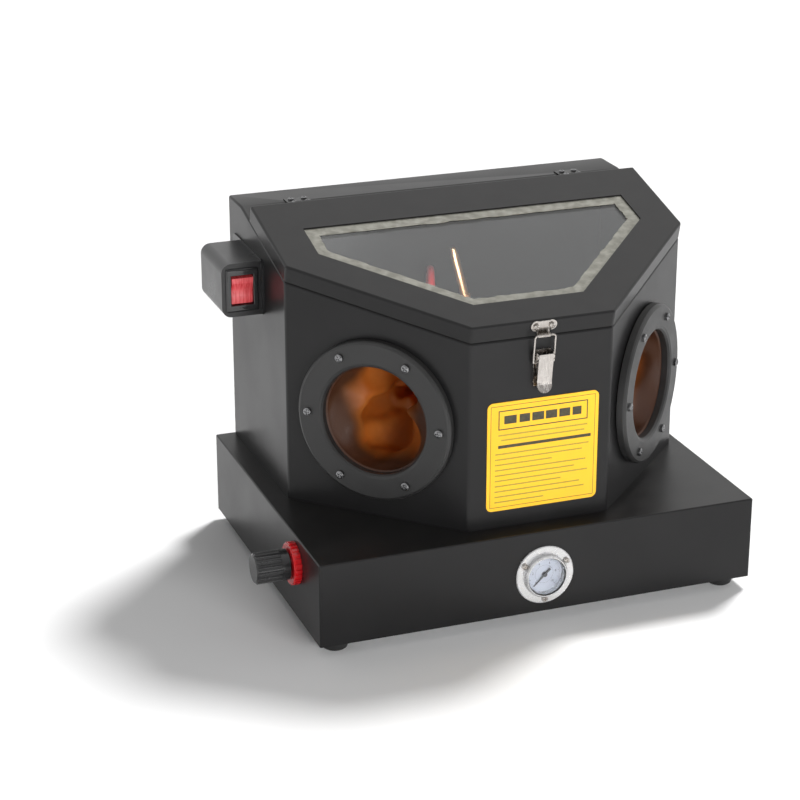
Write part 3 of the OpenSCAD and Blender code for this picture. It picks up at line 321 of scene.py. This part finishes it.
bm = merged("cabinet_shell")
round_over(bm, [e for e in bm.edges if is_fold(e) and all(
    abs(wall_depth(v.co)) < 5e-5 for v in e.verts)
    and max(v.co.z for v in e.verts) > cab_low.z + 0.001], 0.0024)
place(bm, "chamber_folded_sheet", "cabinet", powder_black, "powder_black", ["cabinet_shell"])

# --------------------------------------------- chamber floor, tray and grate
# Zinc-plated sheet: a flat floor, a shallow hopper tray over it, and a slotted
# grate that the work stands on.
dress(zinc_plate, "cabinet_floor", "media_tray", "work_grate")

# ------------------------------------------------------- glove port rings
# Turned rings in satin black hold each glove's cuff against the slanted panel,
# with six cross-recess screws through to a plated ring and nuts inside.
ring_black = finish_of("ring_black", (0.014, 0.0138, 0.0138), (0.018, 0.0178, 0.0178), 0.46, cloud_scale=40,
                       grain_scale=1800, bump=0.3, depth=0.00015, dusty=0.03)
dark_screw = finish_of("dark_screw", (0.2, 0.2, 0.205), (0.28, 0.28, 0.285), 0.3, cloud_scale=300,
                       grain_scale=3000, bump=0.15, metallic=1.0)
dress(ring_black, "glove_ring_left", "glove_ring_right")
dress(zinc_plate, "backing_ring_left", "backing_ring_right")
dress(dark_screw, "ring_screws_left", "ring_screws_right")

# ------------------------------------------------------------------- gloves
# Long gloves of dipped amber rubber. The sleeve falls in on itself in soft folds
# behind the ring, and the limp hand hangs from it with its fingers and thumb. The
# rubber's colour is painted darker towards the cuff, measured out along each port's
# axis, as painted shade for the shadow inside the port's mouth.
glove_rubber = finish_of("glove_rubber", (0.42, 0.105, 0.012), (0.56, 0.17, 0.026), 0.56, spread=0.15,
                         cloud_scale=30, grain_scale=700, bump=0.25, depth=0.0004,
                         Transmission_Weight=0.3, IOR=1.4, Coat_Weight=0.1)
rubber_tree = glove_rubber.node_tree
rubber_colour = rubber_tree.nodes["Principled BSDF"].inputs["Base Color"]
spot = add(rubber_tree, "SeparateXYZ", {0: add(rubber_tree, "TexCoord").outputs["Object"]})
aside = add(rubber_tree, "Math", {0: spot.outputs["X"], 1: cab_mid}, operation="SUBTRACT").outputs[0]
aside = add(rubber_tree, "Math", {0: aside}, operation="ABSOLUTE").outputs[0]
outward = add(rubber_tree, "Math", {0: aside, 1: spot.outputs["Y"]}, operation="SUBTRACT").outputs[0]
port_low, port_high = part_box("backing_ring_right")
port_out = (port_low.x + port_high.x) / 2 - cab_mid - (port_low.y + port_high.y) / 2
# Painted shade: the rubber is mixed towards near-black over the last centimetres before the cuff, standing in
# for the shadow inside the port.
dark_from, dark_full, darkest = port_out - 0.05, port_out - 0.012, 0.93
painted_port_shade = add(rubber_tree, "MapRange", {"Value": outward, "From Min": dark_from, "From Max": dark_full,
                                       "To Min": 0.0, "To Max": darkest},
             interpolation_type="SMOOTHSTEP").outputs[0]
shaded_rubber_colour = add(rubber_tree, "Mix", {"Factor": painted_port_shade, 6: rubber_colour.links[0].from_socket,
                               7: (0.02, 0.009, 0.006, 1)}, data_type="RGBA")
rubber_tree.links.new(shaded_rubber_colour.outputs[2], rubber_colour)
glove_reach = 0.128
mouth = 0.0548


def fold_radius(depth, turn, side):
    """The sleeve's radius at a depth and turn, with its folds falling in."""
    inward = min(1.0, depth / 0.03)
    wave = 0.5 + 0.5 * math.cos(2 * turn + 0.9 * side + depth * 34)
    small = 0.5 + 0.5 * math.cos(5 * turn - side * 1.3 - depth * 52)
    crumple = noise.noise(Vector((math.cos(turn) * 1.6, math.sin(turn) * 1.6, depth * 40 + side * 7)))
    taper = mouth - 0.012 * min(1.0, depth / 0.08)
    return taper * (1 - inward * (0.5 * wave ** 3 + 0.2 * small ** 2 + 0.16 * crumple))


for side, hand in ((-1, "left"), (1, "right")):
    ring_low, ring_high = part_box("backing_ring_" + hand)
    centre = (ring_low + ring_high) / 2
    out_of_port = Vector((side, -1, 0)).normalized()
    along = Vector((1, side, 0)).normalized()
    port = Matrix((along, Vector((0, 0, 1)), out_of_port)).transposed()
    if port.determinant() < 0:
        port = Matrix((-along, Vector((0, 0, 1)), out_of_port)).transposed()
    wall = centre + out_of_port * 0.0025
    bm = bmesh.new()
    rows, turns = 26, 96
    bmesh.ops.create_circle(bm, segments=turns, radius=mouth, cap_ends=False)
    ring_edges = list(bm.edges)
    sleeve_end = 0.082
    for row in range(rows):
        grown = bmesh.ops.extrude_edge_only(bm, edges=ring_edges)["geom"]
        bmesh.ops.translate(bm, verts=[g for g in grown if isinstance(g, bmesh.types.BMVert)],
                            vec=(0, 0, -sleeve_end / rows))
        ring_edges = [g for g in grown if isinstance(g, bmesh.types.BMEdge)
                      and all(abs(v.co.z + sleeve_end * (row + 1) / rows) < 1e-5 for v in g.verts)]
    for vert in bm.verts:
        depth_in = -vert.co.z
        angle = math.atan2(vert.co.y, vert.co.x)
        narrow = 1 - 0.35 * max(0.0, (depth_in - 0.05) / 0.032)
        radius = fold_radius(depth_in, angle, side) * narrow
        vert.co.x, vert.co.y = radius * math.cos(angle), radius * math.sin(angle)
    bmesh.ops.contextual_create(bm, geom=ring_edges)
    for finger in range(5):
        thumb = finger == 4
        spread_x = (-0.018, -0.006, 0.006, 0.018, 0.03)[finger]
        length = (0.038, 0.043, 0.041, 0.034, 0.03)[finger]
        width = 0.0078 if thumb else 0.0072
        lean = Matrix.Rotation(0.5 if thumb else spread_x * 6, 3, "Y")
        lean = lean @ Matrix.Rotation(0.16 * side, 3, "X")
        start = Vector((spread_x * 0.85, -0.004 + 0.004 * math.sin(finger * 2.1), -0.074 if thumb else -0.08))
        tip = bmesh.ops.create_cone(bm, cap_ends=True, segments=20, radius1=width * 0.82, radius2=width,
                                    depth=length)["verts"]
        bmesh.ops.translate(bm, verts=tip, vec=(0, 0, -length / 2))
        bmesh.ops.rotate(bm, verts=tip, cent=(0, 0, 0), matrix=lean)
        bmesh.ops.translate(bm, verts=tip, vec=start)
        end = bmesh.ops.create_uvsphere(bm, u_segments=20, v_segments=12, radius=width * 0.86)["verts"]
        bmesh.ops.translate(bm, verts=end, vec=start + lean @ Vector((0, 0, -length)))
    for vert in bm.verts:
        vert.co.z = max(vert.co.z, -glove_reach + 0.002)
    rubber = bpy.data.meshes.new("glove_sketch")
    bmesh.ops.recalc_face_normals(bm, faces=bm.faces)
    mouth_edges = [e for e in bm.edges if e.is_boundary]
    bmesh.ops.contextual_create(bm, geom=mouth_edges)
    bm.to_mesh(rubber)
    bm.free()
    sketch = bpy.data.objects.new("glove_sketch", rubber)
    scene.collection.objects.link(sketch)
    skin = sketch.modifiers.new("skin", "REMESH")
    skin.mode, skin.voxel_size = "VOXEL", 0.0021
    soften = sketch.modifiers.new("soften", "SMOOTH")
    soften.factor, soften.iterations = 0.6, 5
    bpy.context.view_layer.update()
    baked = bpy.data.meshes.new_from_object(sketch.evaluated_get(bpy.context.evaluated_depsgraph_get()))
    bpy.data.objects.remove(sketch)
    bm = bmesh.new()
    bm.from_mesh(baked)
    # the mouth is opened again, and the cuff's flange turns out between ring and wall
    bmesh.ops.bisect_plane(bm, geom=list(bm.verts) + list(bm.edges) + list(bm.faces), dist=1e-6,
                           plane_co=(0, 0, -0.0035), plane_no=(0, 0, 1), clear_outer=True)
    lip = [e for e in bm.edges if e.is_boundary]
    for radius, level in ((mouth - 0.0006, -0.0005), (mouth - 0.0004, 0.0008), (0.0745, 0.0008)):
        grown = bmesh.ops.extrude_edge_only(bm, edges=lip)["geom"]
        lip_verts = [g for g in grown if isinstance(g, bmesh.types.BMVert)]
        for vert in lip_verts:
            reach = math.hypot(vert.co.x, vert.co.y)
            vert.co = Vector((vert.co.x * radius / reach, vert.co.y * radius / reach, level))
        held = set(lip_verts)
        lip = [g for g in grown if isinstance(g, bmesh.types.BMEdge) and set(g.verts) <= held]
    bmesh.ops.recalc_face_normals(bm, faces=bm.faces)
    bmesh.ops.transform(bm, matrix=Matrix.Translation(wall) @ port.to_4x4(), verts=bm.verts)
    glove = place(bm, "rubber_glove_" + hand, "cabinet", glove_rubber, "glove_rubber", ["glove_" + hand],
                  crease=180, weighted=False)
    thickness = glove.modifiers.new("rubber", "SOLIDIFY")
    thickness.thickness, thickness.offset = 0.0009, 0.0

# --------------------------------------------------------------------- lid
# A shallow hinged lid folded from sheet, with a skirt all round and an opening for
# the window. Its folds catch the light as thin bright lines.
slope = math.radians(14)
rim_front_z, rim_run = 0.292, 0.255
lid_corner = Vector((cab_mid, cab_low.y, rim_front_z))
lid_frame = Matrix.Translation(lid_corner) @ Matrix.Rotation(slope, 4, "X")
to_lid = lid_frame.inverted()
lid_length = rim_run / math.cos(slope)
lid_side = (half_w - front_half) / math.cos(slope)
lid_top = 0.018
slant_turn = math.atan2(lid_side, half_w - front_half)


def lid_depth(point):
    """How far a point, in the lid's own plane, lies inside its outline."""
    x = abs(point.x)
    slant = (half_w - x) * math.sin(slant_turn) + (point.y - lid_side) * math.cos(slant_turn)
    return min(half_w - x, lid_length - point.y, point.y, slant)


bm = merged("lid_shell")
bmesh.ops.transform(bm, matrix=to_lid, verts=bm.verts)
round_over(bm, [e for e in bm.edges if is_fold(e, 0.012) and all(
    abs(lid_depth(v.co)) < 1e-4 for v in e.verts) and max(v.co.z for v in e.verts) > 0.01], 0.0026, 4)
bmesh.ops.transform(bm, matrix=lid_frame, verts=bm.verts)
place(bm, "lid_folded_sheet", "lid", powder_black, "powder_black", ["lid_shell"])

# ------------------------------------------------------------ window and seal
# A clear pane lies under the lid's opening on a strip of pale sealing tape, cut by
# hand with an uneven inner edge, and bent clips with small screws press it up.
window_glass = bpy.data.materials.new("window_glass")
window_glass.use_nodes = True
pane = window_glass.node_tree.nodes["Principled BSDF"]
for socket, value in {"Base Color": (0.93, 0.95, 0.95, 1), "Transmission Weight": 1.0, "IOR": 1.49,
                      "Metallic": 0.0}.items():
    pane.inputs[socket].default_value = value
glass_spot = add(window_glass.node_tree, "TexCoord").outputs["Object"]
smear = add(window_glass.node_tree, "TexNoise", {"Vector": glass_spot, "Scale": 9.0, "Detail": 4.0})
wiped = add(window_glass.node_tree, "MapRange", {"Value": smear.outputs[0], "From Min": 0.4, "From Max": 0.8,
                                                "To Min": 0.008, "To Max": 0.05})
window_glass.node_tree.links.new(wiped.outputs[0], pane.inputs["Roughness"])
dress(window_glass, "window_glass")

seal_strip = finish_of("seal_strip", (0.17, 0.165, 0.14), (0.29, 0.285, 0.25), 0.55, spread=0.2,
                       cloud_scale=120, grain_scale=600, bump=0.5, depth=0.0005)
frame_front, frame_rear, seal_width, tape = 0.039, 0.054, 0.0125, 0.0012
pane_top = lid_top - 0.0015 - tape


def lid_outline(inset, rear_inset):
    """The six corners of the lid's outline, moved in by inset, and at the hinge side by rear_inset."""
    corner_x = half_w - inset
    corner_y = lid_side + inset * (1 - math.sin(slant_turn)) / math.cos(slant_turn)
    front_x = front_half - inset * math.tan(slant_turn / 2)
    rear = lid_length - rear_inset
    return [(corner_x, rear), (-corner_x, rear), (-corner_x, corner_y), (-front_x, inset), (front_x, inset),
            (corner_x, corner_y)]


bm = bmesh.new()
outer = [bm.verts.new((x, y, pane_top)) for x, y in lid_outline(frame_front - 0.012, frame_rear - 0.012)]
inner = [bm.verts.new((x, y, pane_top)) for x, y in
         lid_outline(frame_front + seal_width, frame_rear + seal_width)]
for i in range(6):
    j = (i + 1) % 6
    bm.faces.new((outer[i], outer[j], inner[j], inner[i]))
strips = [e for e in bm.edges if all(v in outer for v in e.verts) or all(v in inner for v in e.verts)]
bmesh.ops.subdivide_edges(bm, edges=strips, cuts=47, use_grid_fill=True)
window_mid = Vector((0, 0.13, pane_top))
for vert in bm.verts:
    if lid_depth(vert.co) > frame_front + seal_width - 0.0004:
        ragged = noise.noise(Vector((vert.co.x * 90, vert.co.y * 90, 2.0)))
        ragged += 0.6 * noise.noise(Vector((vert.co.x * 320, vert.co.y * 320, 5.0)))
        vert.co += (window_mid - vert.co).normalized() * (0.0017 * ragged)
grown = bmesh.ops.extrude_face_region(bm, geom=list(bm.faces))["geom"]
raised = [g for g in grown if isinstance(g, bmesh.types.BMVert)]
bmesh.ops.translate(bm, verts=raised, vec=(0, 0, tape - 0.0002))
bmesh.ops.recalc_face_normals(bm, faces=bm.faces)
bmesh.ops.transform(bm, matrix=lid_frame, verts=bm.verts)
place(bm, "sealing_tape", "lid", seal_strip, "seal_strip", ["window_seal"], weighted=False)
dress(zinc_plate, "window_clips")
dress(screw_steel, "clip_screws")

# -------------------------------------------------------------- rim gasket
# A closed-cell foam strip stuck to the chamber's rim, which the lid closes on.
gasket_foam = finish_of("gasket_foam", (0.01, 0.01, 0.01), (0.02, 0.02, 0.02), 0.85, cloud_scale=400,
                        grain_scale=1600, bump=0.7, depth=0.0004)
dress(gasket_foam, "lid_gasket")

# ------------------------------------------------------------------- hinges
# Two small butt hinges in black, screwed to the rear strip and to the lid's rear
# skirt, each turning on a steel pin.
hinge_black = finish_of("hinge_black", (0.013, 0.013, 0.0133), (0.02, 0.02, 0.02), 0.4, cloud_scale=200,
                        grain_scale=2200, bump=0.25, dusty=0.05)
dress(hinge_black, "hinge_body_leaves", "hinge_lid_leaves")
dress(screw_steel, "hinge_pins")
dress(dark_screw, "hinge_body_screws", "hinge_lid_screws")

# --------------------------------------------------------------- draw latch
# Pressed from nickel-plated steel: a base plate with two ears, a lever with a
# bent rounded tab, a wire loop, and a catch with two screws on the lid's skirt.
nickel = finish_of("nickel", (0.44, 0.41, 0.385), (0.54, 0.51, 0.48), 0.24, spread=0.12, cloud_scale=160,
                   grain_scale=1500, stretch=(4, 1, 1), bump=0.12, metallic=1.0)
for node, name, body in (("latch_base", "latch_base_pressing", "cabinet"),
                         ("latch_lever", "latch_lever_pressing", "latch_lever"),
                         ("latch_catch", "latch_catch_pressing", "lid")):
    bm = merged(node)
    round_over(bm, [e for e in bm.edges if is_fold(e, 0.0004, 50)], 0.00025, 2)
    place(bm, name, body, nickel, "nickel", [node])
dress(nickel, "latch_screws", "latch_loop", "catch_screws")

# -------------------------------------------------------------------- label
# A yellow printed film with rounded corners. Its print is only a border, a boxed
# heading bar and plain rules where the lines of writing would be.
label_yellow = finish_of("label_yellow", (0.81, 0.43, 0.004), (0.84, 0.46, 0.006), 0.34, spread=0.06,
                         cloud_scale=12, grain_scale=700, bump=0.06, Coat_Weight=0.2)
label_ink = finish_of("label_ink", (0.03, 0.027, 0.014), (0.05, 0.045, 0.02), 0.4, cloud_scale=300,
                      grain_scale=900, bump=0.05)
body_ink = finish_of("body_ink", (0.3, 0.22, 0.02), (0.4, 0.3, 0.03), 0.4, cloud_scale=700,
                     grain_scale=900, bump=0.05)
dress(label_yellow, "label_plate")
label_low, label_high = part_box("label_plate")
label_mid = (label_low + label_high) / 2
label_w, label_h = label_high.x - label_low.x, label_high.z - label_low.z
ink_proud, ink_thick = 0.00004, 0.00008


def ink_bar(bm, x, z, wide, high):
    """One flat printed bar on the label, about its middle."""
    bar = bmesh.ops.create_cube(bm, size=1)["verts"]
    bmesh.ops.scale(bm, verts=bar, vec=(wide, ink_thick, high))
    bmesh.ops.translate(bm, verts=bar, vec=(label_mid.x + x, label_low.y - ink_proud + ink_thick / 2,
                                           label_mid.z + z))


def ink_box(bm, x, z, wide, high, line):
    """A printed rectangle of four bars."""
    for s in (-1, 1):
        ink_bar(bm, x, z + s * (high - line) / 2, wide, line)
        ink_bar(bm, x + s * (wide - line) / 2, z, line, high - 2 * line)


bm = bmesh.new()
ink_box(bm, 0, 0, label_w - 0.007, label_h - 0.007, 0.0005)
heading_z = label_h / 2 - 0.0185
ink_box(bm, 0, heading_z, 0.094, 0.020, 0.0011)
for step, wide in ((-0.0345, 0.013), (-0.0195, 0.011), (-0.0055, 0.0125), (0.0085, 0.012), (0.0225, 0.0115),
                   (0.0355, 0.0095)):
    ink_bar(bm, step, heading_z, wide, 0.0085)
subheading_z = heading_z - 0.0275
ink_bar(bm, 0.002, subheading_z, 0.098, 0.0032)
place(bm, "label_heading_print", "cabinet", label_ink, "label_yellow", weighted=False)
bm = bmesh.new()
for row, wide in enumerate((0.094, 0.088)):
    ink_bar(bm, 0, heading_z - 0.0155 - 0.0052 * row, wide, 0.0016)
for row, wide in enumerate((0.099, 0.092, 0.06, 0.096, 0.084, 0.098, 0.07, 0.09, 0.095, 0.052)):
    ink_bar(bm, (wide - 0.1) / 2, subheading_z - 0.0075 - 0.0056 * row, wide, 0.0015)
place(bm, "label_body_print", "cabinet", body_ink, "label_yellow", weighted=False)

# ----------------------------------------------------------- pressure gauge
# A front-flange panel gauge in bright steel with three screws, a pale dial with
# ticks and numbers, a black needle and a flat glass.
gauge_steel = finish_of("gauge_steel", (0.58, 0.58, 0.58), (0.63, 0.63, 0.64), 0.26, spread=0.1,
                        cloud_scale=90, grain_scale=1300, bump=0.1, metallic=0.75)
dial_white = finish_of("dial_white", (0.48, 0.51, 0.58), (0.53, 0.56, 0.62), 0.5, cloud_scale=60,
                       grain_scale=1500, bump=0.05)
dial_ink = finish_of("dial_ink", (0.05, 0.055, 0.07), (0.07, 0.075, 0.09), 0.5, cloud_scale=500,
                     grain_scale=1500, bump=0.05)
pointer_black = finish_of("pointer_black", (0.02, 0.02, 0.024), (0.03, 0.03, 0.034), 0.4, cloud_scale=500,
                          grain_scale=1500, bump=0.05)
dress(gauge_steel, "gauge_case")
dress(dial_white, "gauge_dial")
dress(pointer_black, "gauge_pointer")
dress(nickel, "gauge_screws")
gauge_lens = bpy.data.materials.new("gauge_lens")
gauge_lens.use_nodes = True
lens = gauge_lens.node_tree.nodes["Principled BSDF"]
for socket, value in {"Base Color": (0.97, 0.98, 1, 1), "Transmission Weight": 1.0, "IOR": 1.45,
                      "Metallic": 0.0}.items():
    lens.inputs[socket].default_value = value
haze = add(gauge_lens.node_tree, "TexNoise",
           {"Vector": add(gauge_lens.node_tree, "TexCoord").outputs["Object"], "Scale": 60.0})
faint = add(gauge_lens.node_tree, "MapRange", {"Value": haze.outputs[0], "To Min": 0.0, "To Max": 0.03})
gauge_lens.node_tree.links.new(faint.outputs[0], lens.inputs["Roughness"])
dress(gauge_lens, "gauge_glass")

dial_low, dial_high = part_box("gauge_dial")
dial_mid = (dial_low + dial_high) / 2
dial_r = (dial_high.x - dial_low.x) / 2
dial_face = dial_low.y - 0.00003
scale_start, scale_sweep, scale_steps = math.radians(225), math.radians(270), 50
bm = bmesh.new()
for step in range(scale_steps + 1):
    numbered = step % 5 == 0
    long = 0.0026 if numbered else 0.0014
    tick = bmesh.ops.create_cube(bm, size=1)["verts"]
    bmesh.ops.scale(bm, verts=tick, vec=(long, 0.00008, 0.0003 if numbered else 0.00018))
    bmesh.ops.translate(bm, verts=tick, vec=(dial_r - 0.0016 - long / 2, 0, 0))
    bmesh.ops.rotate(bm, verts=tick, cent=(0, 0, 0),
                     matrix=Matrix.Rotation(-scale_start + scale_sweep * step / scale_steps, 3, "Y"))
    bmesh.ops.translate(bm, verts=tick, vec=(dial_mid.x, dial_face, dial_mid.z))
for step in range(0, 11, 2):
    writing = bpy.data.curves.new("dial_number", "FONT")
    writing.body, writing.size, writing.extrude = str(step), 0.0036, 0.00003
    writing.align_x, writing.align_y = "CENTER", "CENTER"
    letter = bpy.data.objects.new("dial_number", writing)
    flat = bpy.data.meshes.new_from_object(letter)
    angle = scale_start - scale_sweep * step / 10
    at = Vector((dial_mid.x + (dial_r - 0.0066) * math.cos(angle), dial_face,
                 dial_mid.z + (dial_r - 0.0066) * math.sin(angle)))
    flat.transform(Matrix.Translation(at) @ Matrix.Rotation(math.pi / 2, 4, "X"))
    bm.from_mesh(flat)
    bpy.data.objects.remove(letter)
arc = bmesh.ops.create_circle(bm, segments=96, radius=dial_r - 0.0094)["verts"]
arc_edges = list({e for v in arc for e in v.link_edges})
grown = bmesh.ops.extrude_edge_only(bm, edges=arc_edges)["geom"]
wider = [g for g in grown if isinstance(g, bmesh.types.BMVert)]
bmesh.ops.scale(bm, verts=wider, vec=(1.018, 1.018, 1))
whole_arc = arc + wider
bmesh.ops.rotate(bm, verts=whole_arc, cent=(0, 0, 0), matrix=Matrix.Rotation(math.pi / 2, 3, "X"))
bmesh.ops.translate(bm, verts=whole_arc, vec=(dial_mid.x, dial_face, dial_mid.z))
place(bm, "dial_print", "cabinet", dial_ink, "pointer_black", weighted=False)

# ---------------------------------------------------------- air regulator
# A cast regulator inside the base, a moulded red lock ring with teeth against the
# side, and a black fluted knob that is pulled out to turn.
regulator_metal = finish_of("regulator_metal", (0.3, 0.31, 0.32), (0.36, 0.37, 0.38), 0.5, cloud_scale=80,
                            grain_scale=600, bump=0.4, metallic=0.9)
lock_red = finish_of("lock_red", (0.62, 0.008, 0.012), (0.7, 0.012, 0.018), 0.25, cloud_scale=80,
                     grain_scale=900, bump=0.08, Coat_Weight=0.5)
knob_black = finish_of("knob_black", (0.012, 0.012, 0.0125), (0.016, 0.016, 0.0165), 0.24, cloud_scale=90,
                       grain_scale=1500, bump=0.12, Coat_Weight=0.25)
dress(regulator_metal, "regulator_body")
dress(screw_steel, "regulator_spindle")
for node, name, body, material, slot in (
        ("lock_ring", "lock_ring_moulding", "cabinet", lock_red, "lock_red"),
        ("regulator_knob", "fluted_knob", "knob", knob_black, "knob_black")):
    bm = merged(node)
    round_over(bm, [e for e in bm.edges if is_fold(e, 0.0004, 38)], 0.0004, 2)
    place(bm, name, body, material, slot, [node])

# ------------------------------------------------------------- power switch
# A moulded black box on the chamber's left side, screwed on through a thin flange,
# with a glossy bezel and a translucent red rocker, whose faint glow is painted light.
switch_black = finish_of("switch_black", (0.011, 0.011, 0.0115), (0.014, 0.014, 0.0145), 0.3, spread=0.06,
                         cloud_scale=30, grain_scale=1600, bump=0.12, depth=0.0001)
bezel_black = finish_of("bezel_black", (0.008, 0.008, 0.0085), (0.011, 0.011, 0.0115), 0.16, cloud_scale=90,
                        grain_scale=1500, bump=0.05, Coat_Weight=0.4)
# Painted glow: the rocker's faint red emission stands in for light passing through its translucent plastic;
# no lamp lights it.
rocker_red = finish_of("rocker_red", (0.4, 0.03, 0.036), (0.56, 0.09, 0.1), 0.2, spread=0.1, cloud_scale=260,
                       grain_scale=900, stretch=(3, 1, 0.25), bump=0.15, Coat_Weight=0.4,
                       Emission_Color=(0.5, 0.03, 0.03, 1), Emission_Strength=0.12)
switch_low, switch_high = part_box("switch_housing")
bm = merged("switch_housing")
round_over(bm, [e for e in bm.edges if is_fold(e, 0.0005, 40) and all(
    abs(v.co.y - switch_low.y) < 1e-5 and v.co.x < switch_high.x - 0.002 for v in e.verts)
    and not all(abs(v.co.x - (switch_low.x + switch_high.x) / 2) < 0.0145
                and abs(v.co.z - (switch_low.z + switch_high.z) / 2) < 0.0185 for v in e.verts)], 0.003, 4)
place(bm, "switch_box_moulding", "cabinet", switch_black, "switch_black", ["switch_housing"])
bezel_low, bezel_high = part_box("switch_bezel")
bm = merged("switch_bezel")


def on_bezel_corner(vert):
    """True at the outer corners of the bezel's front frame."""
    return (min(abs(vert.co.x - bezel_low.x), abs(vert.co.x - bezel_high.x)) < 1e-5
            and min(abs(vert.co.z - bezel_low.z), abs(vert.co.z - bezel_high.z)) < 1e-5)


round_over(bm, [e for e in bm.edges if is_fold(e, 0.001)
                and all(on_bezel_corner(v) for v in e.verts)], 0.004, 1)
round_over(bm, [e for e in bm.edges if is_fold(e, 0.002, 30)
                and all(abs(v.co.y - bezel_low.y) < 1e-5 for v in e.verts)], 0.0008, 2)
place(bm, "switch_bezel_moulding", "cabinet", bezel_black, "bezel_black", ["switch_bezel"])
bm = merged("switch_rocker")
round_over(bm, [e for e in bm.edges if is_fold(e, 0.004, 50)], 0.0006, 2)
place(bm, "rocker_moulding", "rocker", rocker_red, "rocker_red", ["switch_rocker"])

# ------------------------------------------------------------ rear fittings
# On the back: a moulded spigot for the dust hose, a turned brass plug for the air
# line, and a small socket for the low-voltage supply.
brass_fitting = finish_of("brass_fitting", (0.66, 0.48, 0.2), (0.74, 0.56, 0.27), 0.26, cloud_scale=120,
                          grain_scale=1200, stretch=(1, 6, 1), bump=0.15, metallic=1.0)
dress(ring_black, "dust_port")
dress(brass_fitting, "air_inlet")
dress(bezel_black, "power_inlet")

# --------------------------------------------------------------------- lamp
# A white sheet trough under the rear strip with a frosted lens, which lights the
# inside of the chamber.
lamp_white = finish_of("lamp_white", (0.76, 0.76, 0.76), (0.8, 0.8, 0.8), 0.45, cloud_scale=40,
                       grain_scale=1200, bump=0.2)
lamp_diffuser = finish_of("lamp_diffuser", (0.86, 0.88, 0.9), (0.9, 0.92, 0.94), 0.4, cloud_scale=60,
                          grain_scale=1600, bump=0.3, Emission_Color=(0.93, 0.96, 1, 1),
                          Emission_Strength=1.2)
dress(lamp_white, "lamp_housing")
dress(lamp_diffuser, "lamp_lens")

# ------------------------------------------------------------- blasting gun
# An anodised gun body on a plated stand, with a turned copper nozzle and a small
# steel trigger.
gun_dark = finish_of("gun_dark", (0.13, 0.135, 0.14), (0.17, 0.175, 0.18), 0.38, cloud_scale=90,
                     grain_scale=1500, bump=0.15, metallic=0.9)
nozzle_copper = finish_of("nozzle_copper", (0.93, 0.5, 0.24), (0.97, 0.62, 0.36), 0.36, cloud_scale=120,
                          grain_scale=1500, stretch=(1, 1, 8), bump=0.12, metallic=1.0)
dress(gun_dark, "gun_body")
dress(nozzle_copper, "gun_nozzle")
dress(screw_steel, "gun_trigger")
dress(zinc_plate, "gun_holder")

# ----------------------------------------------------------------- air hose
# A smooth red hose of 8 mm runs from the regulator under the chamber's floor, up
# through a hole at the back and over to the gun. It is held at both ends.
hose_red = finish_of("hose_red", (0.55, 0.02, 0.03), (0.62, 0.035, 0.045), 0.3, cloud_scale=60,
                     grain_scale=1100, bump=0.1, Coat_Weight=0.3)
hose_route = [(-0.1722, -0.0945, 0.07), (-0.1722, -0.0705, 0.07), (-0.1722, -0.0465, 0.07),
              (-0.1282, 0.049, 0.06), (-0.0582, 0.124, 0.055), (0.0058, 0.149, 0.056),
              (0.0293, 0.155, 0.072), (0.0333, 0.156, 0.088), (0.0333, 0.156, 0.12), (0.0333, 0.156, 0.18),
              (0.0333, 0.155, 0.226), (0.0288, 0.144, 0.256), (0.0218, 0.123, 0.269),
              (0.0148, 0.102, 0.258), (0.0088, 0.09, 0.234), (-0.0042, 0.069, 0.206),
              (-0.0122, 0.047, 0.18), (-0.0042, 0.037, 0.156), (0.0188, 0.035, 0.146),
              (0.0418, 0.035, 0.154), (0.0519, 0.035, 0.1723), (0.0475, 0.035, 0.1887),
              (0.0444, 0.035, 0.2003), (0.0405, 0.035, 0.2148)]
hose_curve = bpy.data.curves.new("air_hose_run", "CURVE")
hose_curve.dimensions, hose_curve.resolution_u = "3D", 10
hose_curve.bevel_depth, hose_curve.bevel_resolution, hose_curve.use_fill_caps = 0.004, 6, True
run = hose_curve.splines.new("BEZIER")
run.bezier_points.add(len(hose_route) - 1)
for point, spot in zip(run.bezier_points, hose_route):
    point.co = spot
    point.handle_left_type = point.handle_right_type = "AUTO"
hose_sketch = bpy.data.objects.new("hose_sketch", hose_curve)
scene.collection.objects.link(hose_sketch)
bpy.context.view_layer.update()
hose_mesh = bpy.data.meshes.new_from_object(
    hose_sketch.evaluated_get(bpy.context.evaluated_depsgraph_get()))
bpy.data.objects.remove(hose_sketch)
bm = bmesh.new()
bm.from_mesh(hose_mesh)
bmesh.ops.remove_doubles(bm, verts=bm.verts, dist=1e-6)
bmesh.ops.recalc_face_normals(bm, faces=bm.faces)
place(bm, "red_air_hose", "cabinet", hose_red, "hose_red", ["air_hose"], weighted=False)
